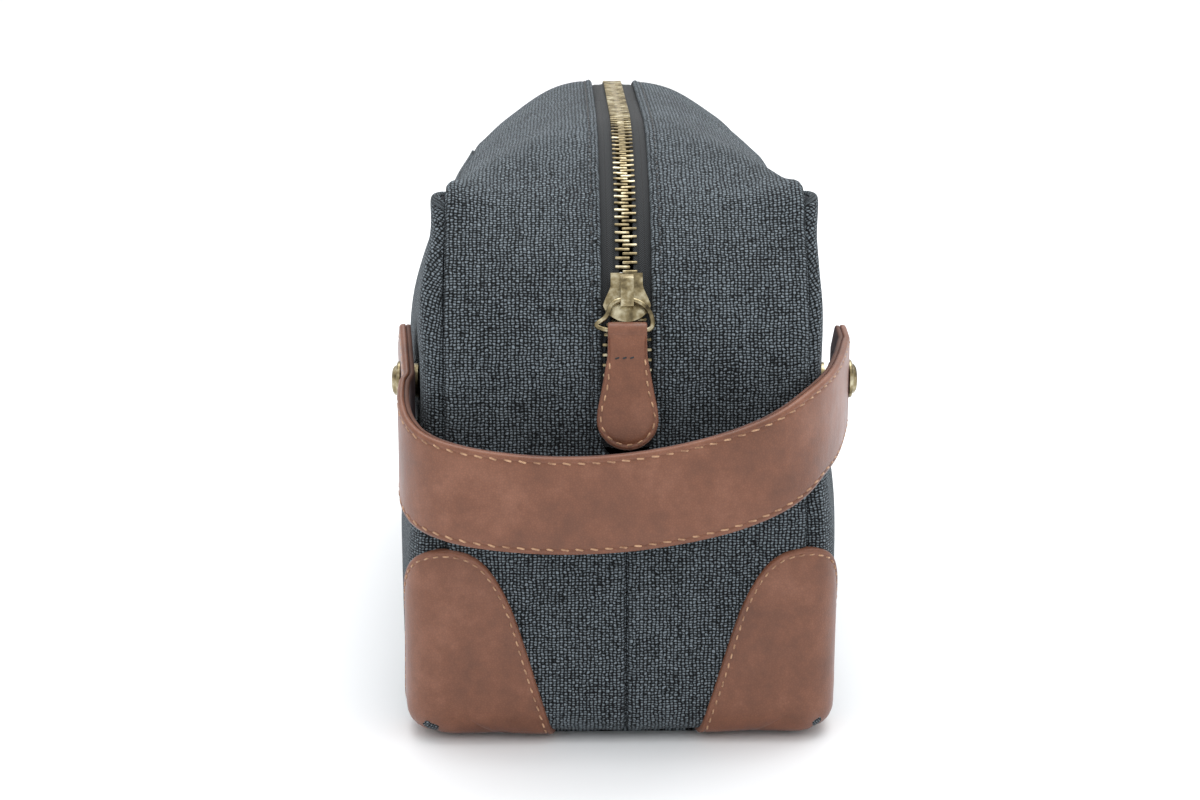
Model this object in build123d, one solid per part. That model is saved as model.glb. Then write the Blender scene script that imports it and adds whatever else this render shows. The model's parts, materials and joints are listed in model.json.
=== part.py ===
from build123d import *

import os
from math import atan2, cos, degrees, radians, sin, sqrt

# Shaving kit bag: a canvas box bag with a zip over its top, leather corner patches and a leather handle.
# Row frame: +Z up, +Y along the bag from the handle end to the far end, origin at the bottom centre of the
# whole object, handle included. Millimetres.

# ---------------------------------------------------------------- driving dimensions
body_length = 254.0  # front end face to back end face
body_height = 158.5  # outside, along the zip
end_half_width = 44.0  # flat part of an end face, to the start of its rounded corner
corner_depth = 12.0  # how far a rounded upright corner runs along the bag
corner_half_width = 54.5  # half width where the rounded corner meets the long side
middle_half_width = 62.0  # half width at mid length, where the long sides bulge
seam_half_width = 47.0  # the upright and long top seams lie this far from the middle
shoulder_drop = 16.0  # from the top of the bag down to the long top seams
waist_height = 98.0  # above it the sides lean in
waist_half_width = 60.5
belly_height = 52.0
belly_half_width = 62.5
base_half_width = 44.0  # flat part of the base
base_corner = 16.0  # radius of the long bottom edges
end_base_radius = 10.0  # radius of the end bottom edges
bend_drop = 66.5  # from the top of the bag down to where an end face starts to bend back
bend_radius = 60.0  # zip path from the end face towards the top
bend_angle = 60.0
arch_rise = 18.5  # crown of the top across the bag, above the long top seams

canvas_thickness = 1.6
lining_thickness = 0.6
base_board_thickness = 2.0
bottom_seam_height = 6.0
panel_gap = 0.4  # between a piece that moves and its neighbour

patch_thickness = 1.4
patch_height = 54.0
patch_offset = 5.5  # from the start of an end face's rounded corner to the middle of the patch
patch_reach = 30.5  # along the bottom edge, from the middle of the patch
patch_apex_radius = 9.5

hem_half_width = 6.5  # from the middle of the zip to the canvas edge
tape_half_width = 14.0
tape_thickness = 0.6
tape_inner_edge = 1.3
zip_tail = 10.0  # how far the zip runs on down an end face, below the bend
tooth_pitch = 2.54
tooth_thickness = 1.0
tooth_head_thickness = 0.9
tooth_tall = 2.6
tooth_outer = 2.9  # from the middle of a closed chain to the outer end of a tooth
tooth_overlap = 1.0  # how far a head reaches past the middle
stop_length = 4.0

slider_angle = 27.0  # rest place of the slider on the bend, from the top of the end face
slider_length = 13.0
slider_tail_half = 4.1
slider_nose_half = 6.1
slider_plate = 1.1
slider_play = 0.25
slider_wall = 0.7
post_half = 0.5
post_length = 3.5
crown_width = 3.3
crown_height = 4.0
crown_length = 8.6
crown_stock = 1.0
row_spread = 2.2  # sideways shift of each tooth row at the slider nose
row_spread_most = 3.4  # and a little below it

ring_wire = 1.3
ring_half_width = 6.4  # to the middle of the wire
ring_bar_half = 5.2
ring_drop = 7.8  # from the crown end of the ring to its bar
ring_tilt = 8.0  # how far the ring leans towards the bag from the line of the zip
pull_thickness = 1.2
pull_neck_half = 5.0
pull_tip_radius = 7.9
pull_length = 30.6
pull_lean = 12.0  # how far the pull hangs out from upright
pull_loop_clearance = 0.15

strap_width = 25.4
strap_outer_thickness = 1.8
strap_inner_thickness = 1.4
strap_stand_off = 14.0  # from the end face to the inside of the handle
strap_clearance = 0.5  # from the bulged side to the tab of the handle
strap_tab_length = 15.0  # behind the rivet
strap_left_radius = 20.0
strap_right_radius = 22.0
strap_front_height = 70.5  # middle of the handle in front of the bag
strap_right_height = 85.0  # middle of the handle at its right corner, to which its right half bows up
strap_rise_inset = 6.0  # from the right tab inwards, to where the rise ends
strap_bow = 2.6  # how far the rise hangs below a straight line
rivet_height = 91.5
rivet_depth = 34.0  # behind the front end face
rivet_post_radius = 1.75
rivet_clearance = 0.06
rivet_flange_radius = 5.2
rivet_cap_radius = 4.6
rivet_cap_height = 2.6
rivet_flange_height = 0.9
rivet_washer_radius = 4.6
rivet_base_radius = 4.5
rivet_base_height = 1.6

# ---------------------------------------------------------------- places worked out from them
shoulder_height = body_height - shoulder_drop
end_face_height = body_height - bend_drop
zip_low = end_face_height - zip_tail
strap_thickness = strap_outer_thickness + strap_inner_thickness
handle_reach = strap_stand_off + strap_thickness
front = -(body_length + patch_thickness - handle_reach) / 2  # y of the front end face
back = front + body_length
middle = (front + back) / 2
bend_run = bend_radius * (1 - cos(radians(bend_angle)))
bend_top = end_face_height + bend_radius * sin(radians(bend_angle))
crown_angle = 90 - bend_angle
top_radius = (body_height - bend_top) / (1 - cos(radians(crown_angle)))
top_run = top_radius * sin(radians(crown_angle))
flat_start = front + bend_run + top_run
flat_end = back - bend_run - top_run
flap_front = front + bend_run
flap_back = back - bend_run
tape_depth = canvas_thickness  # the tape lies against the inside of the canvas
chain_depth = tape_depth + tape_thickness / 2  # middle of the chain, below the outside of the canvas
deep = 400.0  # longer than anything that it has to pass through


def side_outline():
    """The bag from the side, in Y and Z."""
    e, b = end_face_height, bend_angle
    with BuildSketch(Plane.YZ) as s:
        with BuildLine():
            Line((front + end_base_radius, 0), (back - end_base_radius, 0))
            RadiusArc((back - end_base_radius, 0), (back, end_base_radius), -end_base_radius)
            Line((back, end_base_radius), (back, e))
            CenterArc((back - bend_radius, e), bend_radius, 0, b)
            CenterArc((flat_end, body_height - top_radius), top_radius, b, crown_angle)
            Line((flat_end, body_height), (flat_start, body_height))
            CenterArc((flat_start, body_height - top_radius), top_radius, 90, crown_angle)
            CenterArc((front + bend_radius, e), bend_radius, 180 - b, b)
            Line((front, e), (front, end_base_radius))
            RadiusArc((front, end_base_radius), (front + end_base_radius, 0), -end_base_radius)
        make_face()
    return s.sketch


def plan_outline():
    """The bag from above: straight ends, rounded corners and bulged long sides."""
    x, c, d = end_half_width, corner_half_width, corner_depth
    bow = (x + c) / 2 + (c - x) * 0.21
    with BuildSketch(Plane.XY) as s:
        with BuildLine():
            Line((-x, front), (x, front))
            ThreePointArc((x, front), (bow, front + d * 0.29), (c, front + d))
            ThreePointArc((c, front + d), (middle_half_width, middle), (c, back - d))
            ThreePointArc((c, back - d), (bow, back - d * 0.29), (x, back))
            Line((x, back), (-x, back))
            ThreePointArc((-x, back), (-bow, back - d * 0.29), (-c, back - d))
            ThreePointArc((-c, back - d), (-middle_half_width, middle), (-c, front + d))
            ThreePointArc((-c, front + d), (-bow, front + d * 0.29), (-x, front))
        make_face()
    return s.sketch


def end_outline():
    """The bag from its end: rounded base, full belly, sides that lean in and an arched top."""
    side_foot = base_half_width + base_corner
    lean = ((waist_half_width + seam_half_width) / 2 + 1.6, (waist_height + shoulder_height) / 2)
    with BuildSketch(Plane.XZ) as s:
        with BuildLine():
            Line((-base_half_width, 0), (base_half_width, 0))
            RadiusArc((base_half_width, 0), (side_foot, base_corner), -base_corner)
            ThreePointArc(
                (side_foot, base_corner), (belly_half_width, belly_height), (waist_half_width, waist_height)
            )
            ThreePointArc(
                (waist_half_width, waist_height), lean, (seam_half_width, shoulder_height)
            )
            ThreePointArc(
                (seam_half_width, shoulder_height),
                (0, shoulder_height + arch_rise),
                (-seam_half_width, shoulder_height),
            )
            ThreePointArc(
                (-seam_half_width, shoulder_height), (-lean[0], lean[1]), (-waist_half_width, waist_height)
            )
            ThreePointArc(
                (-waist_half_width, waist_height),
                (-belly_half_width, belly_height),
                (-side_foot, base_corner),
            )
            RadiusArc((-side_foot, base_corner), (-base_half_width, 0), -base_corner)
        make_face()
    return s.sketch


def bag_solid(grow=0.0):
    """The whole bag as a solid, its outside moved out by grow."""
    sides = []
    for outline in (side_outline(), plan_outline(), end_outline()):
        face = offset(outline, amount=grow, kind=Kind.ARC) if grow else outline
        sides.append(extrude(face, amount=deep, both=True))
    return sides[0] & sides[1] & sides[2]


def block(x, y, z):
    """A box from three (low, high) pairs."""
    low, high = zip(x, y, z)
    size = [h - l for l, h in zip(low, high)]
    return Pos(*[(l + h) / 2 for l, h in zip(low, high)]) * Box(*size)


def mirrored(shape, left):
    """Pieces are drawn on the right, and mirrored for the left."""
    return shape.mirror(Plane.YZ) if left else shape


def solids_of(shape):
    """A compound of the solids of a shape or of a list of shapes."""
    shapes = shape if isinstance(shape, (list, tuple)) else [shape]
    return Compound(children=[s for each in shapes for s in each.solids()])


def save(shape, node):
    export_step(solids_of(shape), os.path.join("parts", node + ".step"))


# ---------------------------------------------------------------- canvas and lining
def shells():
    """The canvas and the lining as closed skins, and the space inside them."""
    outside = bag_solid()
    middle_skin = bag_solid(-canvas_thickness)
    inside = bag_solid(-canvas_thickness - lining_thickness)
    return outside - middle_skin, middle_skin - inside, inside


def zip_slot(half, low):
    """The slot that a panel edge leaves for the zip, from height low on both ends."""
    return block((-half, half), (-deep, deep), (low, deep))


def flap_space(inner_edge):
    """The space of the right half of the top, from the zip to the long top seam."""
    edge, top = seam_half_width - panel_gap, shoulder_height
    with BuildSketch(Plane.XZ) as s:
        with BuildLine():
            Polyline(
                (inner_edge, top - 18),
                (inner_edge, top + 40),
                (edge, top + 40),
                (edge, top - 0.6),
                (edge - 5, top - 7),
                (edge - 14, top - 18),
                close=True,
            )
        make_face()
    length = flap_back - flap_front - 2 * panel_gap
    return Pos(0, flap_front + panel_gap + length, 0) * extrude(s.sketch, amount=length)


def canvas_pieces(canvas):
    """Nine panels: two sides, four half ends, two halves of the top and the bottom."""
    pieces = {}
    upright = (bottom_seam_height, deep)
    inner = (0, seam_half_width)
    slot = zip_slot(hem_half_width, zip_low)
    pieces["side_panel"] = canvas & block((seam_half_width, deep), (-deep, deep), (-deep, deep))
    pieces["front_end_panel"] = (canvas & block(inner, (-deep, flap_front), upright)) - slot
    pieces["back_end_panel"] = (canvas & block(inner, (flap_back, deep), upright)) - slot
    pieces["top_panel"] = canvas & flap_space(hem_half_width)
    for name, shape in pieces.items():
        for side in ("left", "right"):
            save(mirrored(shape, side == "left"), f"{side}_{name}")
    bottom = canvas & block((-seam_half_width, seam_half_width), (-deep, deep), (-deep, bottom_seam_height))
    save(bottom, "bottom_panel")


def lining_pieces(lining, rivet_holes):
    """The lining of the bag in one piece, that of each top half, and the stiffener under the base lining."""
    mouth = block(
        (-seam_half_width - 2, seam_half_width + 2), (flap_front, flap_back), (shoulder_height - 6, deep)
    )
    hem = tape_half_width + 0.2
    save(lining - mouth - zip_slot(hem, zip_low - 4) - rivet_holes, "lining")
    for side in ("left", "right"):
        save(mirrored(lining & flap_space(hem), side == "left"), f"{side}_top_lining")


def base_board(inside):
    """The stiffener that lies in the bottom of the bag."""
    top = canvas_thickness + lining_thickness + base_board_thickness
    board = inside & block((-deep, deep), (-deep, deep), (-deep, top))
    reach = block(
        (-base_half_width, base_half_width), (front + end_base_radius, back - end_base_radius), (-deep, deep)
    )
    save(board & reach, "base_board")


# ---------------------------------------------------------------- leather corner patches
def patch_outline():
    """The patch seen along the corner diagonal: an arch that stands on the base."""
    half = patch_reach / sqrt(2)
    r = patch_apex_radius
    lean = atan2(half - r, patch_height - r)
    with BuildSketch() as s:
        with BuildLine():
            foot = (half, -2.0)
            side = (r * cos(lean), patch_height - r + r * sin(lean))
            Line((-half, -2.0), foot)
            bow = ((foot[0] + side[0]) / 2 + 0.8, (foot[1] + side[1]) / 2)
            ThreePointArc(foot, bow, side)
            ThreePointArc(side, (0, patch_height), (-side[0], side[1]))
            ThreePointArc((-side[0], side[1]), (-bow[0], bow[1]), (-half, -2.0))
        make_face()
    return s.sketch


def corner_patches(outside):
    """Four patches, each wrapped round an upright corner and under the long bottom edge."""
    skin = bag_solid(patch_thickness) - outside
    skin = skin & block((-deep, deep), (-deep, deep), (0, deep))
    for end, y, facing in (("front", front, 1), ("back", back, -1)):
        corner = Vector(end_half_width + patch_offset, y, 0)
        out = Vector(1, -facing, 0)
        across = Vector(1, facing, 0)
        plane = Plane(origin=corner, x_dir=across, z_dir=across.cross(Vector(0, 0, 1)))
        prism = extrude(plane * patch_outline(), amount=70, both=True)
        patch = skin & prism
        for side in ("left", "right"):
            save(mirrored(patch, side == "left"), f"{end}_{side}_patch")


# ---------------------------------------------------------------- zip path
class ZipPath:
    """The middle of the chain, measured by length from the lower end at the front to that at the back."""

    def __init__(self):
        self.bend = bend_radius - chain_depth
        self.top = top_radius - chain_depth
        self.rise = end_face_height - zip_low
        self.parts = [
            self.rise,
            self.bend * radians(bend_angle),
            self.top * radians(crown_angle),
            flat_end - flat_start,
            self.top * radians(crown_angle),
            self.bend * radians(bend_angle),
            self.rise,
        ]
        self.length = sum(self.parts)
        self.flap = (sum(self.parts[:2]), sum(self.parts[:5]))

    def at(self, s):
        """Y, Z and the slope in degrees, from +Y, at length s."""
        if s > self.length / 2:
            y, z, slope = self.at(self.length - s)
            return front + back - y, z, -slope
        if s <= self.parts[0]:
            return front + chain_depth, zip_low + s, 90.0
        s -= self.parts[0]
        if s <= self.parts[1]:
            a = s / self.bend
            y = front + bend_radius - self.bend * cos(a)
            return y, end_face_height + self.bend * sin(a), 90 - degrees(a)
        s -= self.parts[1]
        if s <= self.parts[2]:
            a = radians(crown_angle) - s / self.top
            y = flat_start - self.top * sin(a)
            return y, body_height - top_radius + self.top * cos(a), degrees(a)
        return flat_start + s - self.parts[2], body_height - chain_depth, 0.0

    def place(self, s):
        """A location with local X across the bag, local Y along the zip and local Z outwards."""
        y, z, slope = self.at(s)
        return Location((0, y, z), (slope, 0, 0))

    def of_angle(self, angle):
        """The length at an angle on the front bend."""
        return self.parts[0] + self.bend * radians(angle)


def row_shift(path, s):
    """How far a tooth row stands aside from the closed chain, where the zip is open below the slider."""
    middle_s = path.of_angle(slider_angle)
    closed, nose = middle_s + 2.0, middle_s - slider_length / 2
    widest = nose - 5.0
    low = stop_length
    points = [
        (low, 1.2),
        (widest - 8, row_spread_most),
        (widest, row_spread_most),
        (nose, row_spread),
        (middle_s - 1.0, row_spread * 0.6),
        (closed, 0.0),
    ]
    if s >= closed:
        return 0.0
    if s <= low:
        return points[0][1]
    for (s0, v0), (s1, v1) in zip(points, points[1:]):
        if s <= s1:
            return v0 + (v1 - v0) * (s - s0) / (s1 - s0)
    return 0.0


def tooth():
    """One tooth of the right row: a leg that clamps the tape, and a thinner head past the middle."""
    with BuildSketch() as s:
        with BuildLine():
            t, h = tooth_thickness / 2, tooth_head_thickness / 2
            Polyline(
                (tooth_outer, -t),
                (tooth_outer, t),
                (0.5, t),
                (0.2, h),
                (-tooth_overlap + 0.25, h),
                (-tooth_overlap, h - 0.2),
                (-tooth_overlap, -h + 0.2),
                (-tooth_overlap + 0.25, -h),
                (0.2, -h),
                (0.5, -t),
                close=True,
            )
        make_face()
    return Pos(0, 0, -tooth_tall / 2) * extrude(s.sketch, amount=tooth_tall)


def teeth(path, start, stop, left):
    """The teeth of one row whose middles lie between two lengths, less the tape that they clamp."""
    base = tooth()
    clamp = block((tape_inner_edge, 9), (-9, 9), (-tape_thickness / 2, tape_thickness / 2))
    base = base - clamp
    if left:
        base = base.mirror(Plane.YZ)
    found = []
    count = int(path.length / tooth_pitch)
    for n in range(count):
        s = stop_length + (n + (0.5 if left else 0.0)) * tooth_pitch
        if start < s < stop and s < path.length - stop_length:
            shift = row_shift(path, s) * (-1 if left else 1)
            found.append(path.place(s) * Pos(shift, 0, 0) * base)
    return found


def tape(path, y_range, z_range, front_part):
    """The right half of the tape between two places: a thin band that follows the zip path."""
    outer = offset(side_outline(), amount=-tape_depth, kind=Kind.ARC)
    inner = offset(side_outline(), amount=-tape_depth - tape_thickness, kind=Kind.ARC)
    band = extrude(outer - inner, amount=deep, both=True)
    shape = band & block((tape_inner_edge, tape_half_width), y_range, z_range)
    if front_part:
        for n in range(40):
            s0, s1 = n * 1.5, (n + 1) * 1.5
            shift = row_shift(path, (s0 + s1) / 2)
            if shift > 0:
                notch = block((0, tape_inner_edge + shift), (-0.8, 0.8), (-2, 2))
                shape = shape - path.place((s0 + s1) / 2) * notch
    return shape


def zip_pieces(path):
    """Tapes, tooth rows and stops, in three stretches: the front end, the top and the back end."""
    gap = panel_gap / 2
    low, high = path.flap
    over_top = (flap_front + panel_gap, flap_back - panel_gap)
    stretches = (
        ("front", (-deep, flap_front), (zip_low - 3, deep), (0, low - 0.7)),
        ("top", over_top, (shoulder_height - 10, deep), (low + 0.7, high - 0.7)),
        ("back", (flap_back, deep), (zip_low - 3, deep), (high + 0.7, path.length)),
    )
    for name, y_range, z_range, (start, stop) in stretches:
        shape = tape(path, y_range, z_range, name == "front")
        for side in ("left", "right"):
            left = side == "left"
            save(mirrored(shape, left), f"{name}_{side}_tape")
            save(teeth(path, start, stop, left), f"{name}_{side}_teeth")


def zip_stops(path):
    """Two small stops where the closed zip ends at the front, and one wide stop at the back."""
    half = stop_length / 2
    tall = tooth_tall + 0.4
    clamp = block((tape_inner_edge, 9), (-9, 9), (-tape_thickness / 2, tape_thickness / 2))
    shift = row_shift(path, half)
    stop = Box(2.4, stop_length - 1.2, tall) - Pos(-1.6, 0, 0) * clamp
    right = path.place(half - 0.2) * Pos(shift + 1.6, 0, 0) * stop
    save([right, right.mirror(Plane.YZ)], "front_stops")
    wide = Box(2 * tooth_outer + 0.6, stop_length - 1.2, tall) - clamp - clamp.mirror(Plane.YZ)
    save(path.place(path.length - half + 0.2) * wide, "back_stop")


# ---------------------------------------------------------------- slider, ring and pull
def slider_outline(inset=0.0):
    """The slider from above: narrow tail, flared shoulders and a rounded nose at -Y."""
    tail, nose, half = slider_tail_half - inset, slider_nose_half - inset, slider_length / 2
    end = half
    with BuildSketch() as s:
        with BuildLine():
            Line((-tail, end), (tail, end))
            Line((tail, end), (tail, end - 2.8))
            flare = ((tail, end - 2.8), (tail + 0.7, end - 5.4), (nose, -half + 4.2))
            Spline(*flare, tangents=((0, -1), (0.25, -1)))
            ThreePointArc((nose, -half + 4.2), (0, -half + inset), (-nose, -half + 4.2))
            flare = ((-nose, -half + 4.2), (-tail - 0.7, end - 5.4), (-tail, end - 2.8))
            Spline(*flare, tangents=((0.25, 1), (0, 1)))
            Line((-tail, end - 2.8), (-tail, end))
        make_face()
    return s.sketch


def ring_shell(low, high):
    """The space between two distances from the middle of the chain, curved with the bend."""
    radius = bend_radius - chain_depth
    axis = Location((0, front + bend_radius, end_face_height), (0, 90, 0))
    return axis * (Cylinder(radius + high, deep) - Cylinder(radius + low, deep))


def slider_pieces(path):
    """The die-cast slider body, curved with the bend of the zip, and the crown that holds the ring."""
    place = path.place(path.of_angle(slider_angle))
    half = tooth_tall / 2 + slider_play
    slot = tape_thickness / 2 + 0.25
    full = place * Pos(0, 0, -10) * extrude(slider_outline(), amount=20)
    inner = place * Pos(0, 0, -10) * extrude(slider_outline(slider_wall), amount=20)
    tail = slider_tail_half - slider_wall
    tail_way = place * block((-tail, tail), (0, 20), (-deep, deep))
    upper = full & ring_shell(half, half + slider_plate)
    lower = full & ring_shell(-half - slider_plate, -half)
    walls = (full - inner) & (ring_shell(slot, half) + ring_shell(-half, -slot))
    walls = walls - tail_way
    for middle_x in (-3.0, 3.0):
        walls = walls - place * block((middle_x - 2.35, middle_x + 2.35), (-20, -2.5), (-deep, deep))
    post_y = -slider_length / 2 + 1.0 + post_length / 2
    with BuildSketch() as s:
        with Locations((0, post_y)):
            Ellipse(post_half, post_length / 2)
    post = (place * Pos(0, 0, -10) * extrude(s.sketch, amount=20)) & ring_shell(-half - 0.5, half + 0.5)
    save(upper + lower + walls + post, "slider_body")
    seat = half + slider_plate
    with BuildSketch(Plane.YZ) as side:
        with BuildLine():
            reach, tall, t = crown_length / 2, crown_height, crown_stock
            Polyline(
                (-reach, 0),
                (-reach, tall - 1.2),
                (-reach + 1.2, tall),
                (reach - 1.6, tall),
                (reach, tall - 1.8),
                (reach, 0),
                (reach - t, 0),
                (reach - t, tall - 2.2),
                (reach - 2.0, tall - t),
                (-reach + 1.5, tall - t),
                (-reach + t, tall - 1.6),
                (-reach + t, 0),
                close=True,
            )
        make_face()
    arch = extrude(side.sketch, amount=crown_width / 2, both=True)
    crown = place * Pos(0, 1.2, seat - 0.35) * arch
    crown = crown - ring_shell(0, seat)
    save(crown, "slider_crown")
    return place, seat


def ring_frame(place, seat):
    """Where the ring hangs: its top wire lies inside the crown, and the ring lies down along the zip."""
    wire = ring_wire / 2
    y = 1.2 - crown_length / 2 + crown_stock + wire + 0.25
    z = seat + crown_height - 0.35 - crown_stock - wire - 0.25
    return place * Location((0, y, z))


def ring_path():
    """The middle of the wire, from above: a rounded top in the crown, shoulders, and a straight bar."""
    half, bar, drop = ring_half_width, ring_bar_half, ring_drop
    with BuildLine() as line:
        Spline(
            (bar, -drop),
            (half, -drop * 0.68),
            (half * 0.62, -drop * 0.16),
            (0, 0),
            (-half * 0.62, -drop * 0.16),
            (-half, -drop * 0.68),
            (-bar, -drop),
            tangents=((1, 0.25), (1, -0.25)),
        )
        Line((-bar, -drop), (bar, -drop))
    return line


def pull_ring(frame):
    """The wire ring, as a swept tube and a straight bar."""
    line = ring_path()
    bow, bar = line.edges().sort_by(Axis.Y)[1], line.edges().sort_by(Axis.Y)[0]
    wire = ring_wire / 2
    start = Plane(origin=bow @ 0, z_dir=bow % 0)
    tube = sweep(start * Circle(wire), path=bow)
    straight = Plane(origin=bar @ 0, z_dir=bar % 0)
    rod = extrude(straight * Circle(wire), amount=bar.length)
    ends = [Pos(*(bar @ t)) * Sphere(wire) for t in (0, 1)]
    ring = tube + rod + ends[0] + ends[1]
    save(frame * ring, "pull_ring")


def pull_outline(neck, tip, top, length):
    """The pull from above: a neck at the ring and a round, wider end."""
    with BuildSketch() as s:
        with BuildLine():
            low = -length + tip
            Line((-neck, top), (neck, top))
            Line((neck, top), (neck, -3.5))
            Line((neck, -3.5), (tip, low + 1.5))
            ThreePointArc((tip, low + 1.5), (0, -length), (-tip, low + 1.5))
            Line((-tip, low + 1.5), (-neck, -3.5))
            Line((-neck, -3.5), (-neck, top))
        make_face()
    return s.sketch


def pull_pieces(bar_frame):
    """A leather strip folded round the bar of the ring, and the leather backing sewn inside the fold."""
    wire = ring_wire / 2 + pull_loop_clearance
    t = pull_thickness
    face = pull_outline(pull_neck_half, pull_tip_radius, 0.0, pull_length)
    front_leaf = Pos(0, 0, wire) * extrude(face, amount=t)
    loop = Rot(0, 90, 0) * (Cylinder(wire + t, 2 * pull_neck_half) - Cylinder(wire, 2 * pull_neck_half))
    loop = loop & block((-9, 9), (0, 9), (-9, 9))
    tail = block((-pull_neck_half, pull_neck_half), (-6.0, 0), (-wire - t, -wire))
    save(bar_frame * (front_leaf + loop + tail), "pull_front")
    backing_face = pull_outline(pull_neck_half, pull_tip_radius, -6.0, pull_length)
    keep = block((-20, 20), (-pull_length - 5, -6.2), (-9, 9))
    backing = (Pos(0, 0, wire - t) * extrude(backing_face, amount=t)) & keep
    save(bar_frame * backing, "pull_back")


# ---------------------------------------------------------------- handle and rivets
def side_x(depth):
    """Outside half width of the bag at a distance behind the front end face, from the plan's side arc."""
    chord = body_length / 2 - corner_depth
    rise = middle_half_width - corner_half_width
    radius = (chord**2 + rise**2) / (2 * rise)
    along = body_length / 2 - depth
    return middle_half_width - radius + sqrt(radius**2 - along**2)


def strap_line(away):
    """The handle from above, at a distance outside its inner face: tab, corner, front run, corner, tab."""
    x = side_x(rivet_depth + strap_tab_length) + strap_clearance + away
    rear = front + rivet_depth + strap_tab_length
    y = front - strap_stand_off - away
    left, right = strap_left_radius + away, strap_right_radius + away
    with BuildLine() as line:
        Line((-x, rear), (-x, y + left))
        CenterArc((left - x, y + left), left, 180, 90)
        Line((left - x, y), (x - right, y))
        CenterArc((x - right, y + right), right, 270, 90)
        Line((x, y + right), (x, rear))
    return line


def strap_side_view(front_height, reach):
    """The handle from the side, from its tab down to a height in front of the bag, as wide as reach."""
    half, tab = strap_width / 2, strap_tab_length
    droop = atan2(rivet_height - front_height, rivet_depth + strap_stand_off)

    def along(distance, up):
        y = front + rivet_depth + distance * cos(droop) - up * sin(droop)
        return y, rivet_height + distance * sin(droop) + up * cos(droop)

    with BuildSketch(Plane.YZ) as s:
        with BuildLine():
            Polyline(
                along(-10, -half),
                along(tab - 6, -half),
                along(tab, -half + 7),
                along(tab, half - 7),
                along(tab - 6, half),
                along(-10, half),
            )
            low, high = front_height - half, front_height + half
            near, far = front - strap_stand_off, front - 2 * strap_stand_off
            Line(along(-10, -half), (near, low))
            Polyline((near, low), (far, low), (far, high), (near, high))
            Line((near, high), along(-10, half))
        make_face()
    return extrude(s.sketch, amount=reach)


def strap_right_slab():
    """The right half of the handle: it bows up across the front of the bag, then runs back to its tab."""
    half = strap_width / 2
    turn = front - strap_stand_off / 2
    share = (rivet_depth + strap_stand_off / 2) / (rivet_depth + strap_stand_off)
    top = rivet_height - (rivet_height - strap_right_height) * share
    end = side_x(rivet_depth + strap_tab_length) + strap_clearance - strap_rise_inset
    sag = (strap_front_height + top) / 2 - strap_bow
    with BuildSketch(Plane.XZ) as s:
        with BuildLine():
            ThreePointArc((0, strap_front_height - half), (end / 2, sag - half), (end, top - half))
            Polyline((end, top - half), (deep, top - half), (deep, top + half), (end, top + half))
            ThreePointArc((end, top + half), (end / 2, sag + half), (0, strap_front_height + half))
            Line((0, strap_front_height + half), (0, strap_front_height - half))
        make_face()
    rise = extrude(s.sketch, amount=deep, both=True) & block((0, deep), (-deep, turn), (0, deep))
    side = strap_side_view(strap_right_height, deep) & block((0, deep), (turn, deep), (0, deep))
    return rise + side


def strap_layer(low, high, holes):
    """One layer of the handle between two distances from its inner face, cut to its width along its droop."""
    edges = [strap_line(low), strap_line(high)]
    with BuildSketch() as s:
        with BuildLine():
            for line in edges:
                add(line.line)
            for t in (0, 1):
                Line(edges[0].line @ t, edges[1].line @ t)
        make_face()
    tall = Pos(0, 0, rivet_height - 90) * extrude(s.sketch, amount=180)
    slab = strap_side_view(strap_front_height, -deep) + strap_right_slab()
    return (tall & slab) - holes


def rivet_pieces(outside_x, tab_x):
    """One rivet on the right: a cap with its post, a washer behind the handle and a base inside the bag."""
    origin = Pos(0, front + rivet_depth, rivet_height) * Rot(0, 90, 0)

    def disc(radius, start, end):
        return origin * Pos(0, 0, (start + end) / 2) * Cylinder(radius, end - start)

    out = tab_x + strap_thickness + panel_gap / 2
    wall_in = outside_x - canvas_thickness - lining_thickness - 0.9
    flange = disc(rivet_flange_radius, out, out + rivet_flange_height)
    cap = disc(rivet_cap_radius, out + rivet_flange_height, out + rivet_cap_height)
    cap = fillet(cap.edges().group_by(Axis.X)[-1], 0.7)
    post = disc(rivet_post_radius, wall_in, out)
    base = disc(rivet_base_radius, wall_in - rivet_base_height, wall_in)
    washer = disc(rivet_washer_radius, outside_x + 0.9, tab_x - 0.15) - disc(rivet_post_radius, 0, deep)
    return {"rivet_cap": flange + cap + post, "rivet_base": base, "rivet_washer": washer}


def handle_pieces():
    """Both layers of the handle and the two rivets that it turns on. Returns the holes that they need."""
    tab_x = side_x(rivet_depth + strap_tab_length) + strap_clearance
    axis = Pos(0, front + rivet_depth, rivet_height) * Rot(0, 90, 0)
    holes = axis * Cylinder(rivet_post_radius + rivet_clearance, 2 * deep)
    save(strap_layer(0, strap_inner_thickness, holes), "handle_lining")
    save(strap_layer(strap_inner_thickness, strap_thickness, holes), "handle_outer")
    for node, shape in rivet_pieces(side_x(rivet_depth), tab_x).items():
        for side in ("left", "right"):
            save(mirrored(shape, side == "left"), f"{side}_{node}")
    return axis * Cylinder(rivet_post_radius, 2 * deep)


def main():
    os.makedirs("parts", exist_ok=True)
    path = ZipPath()
    canvas, lining, inside = shells()
    holes = handle_pieces()
    canvas_pieces(canvas - holes)
    lining_pieces(lining, holes)
    base_board(inside)
    corner_patches(bag_solid())
    zip_pieces(path)
    zip_stops(path)
    place, seat = slider_pieces(path)
    ring = ring_frame(place, seat) * Rot(ring_tilt, 0, 0)
    pull_ring(ring)
    hang = 90 - pull_lean - (90 - slider_angle + ring_tilt)
    pull_pieces(ring * Pos(0, -ring_drop, 0) * Rot(hang, 0, 0))


main()
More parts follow.
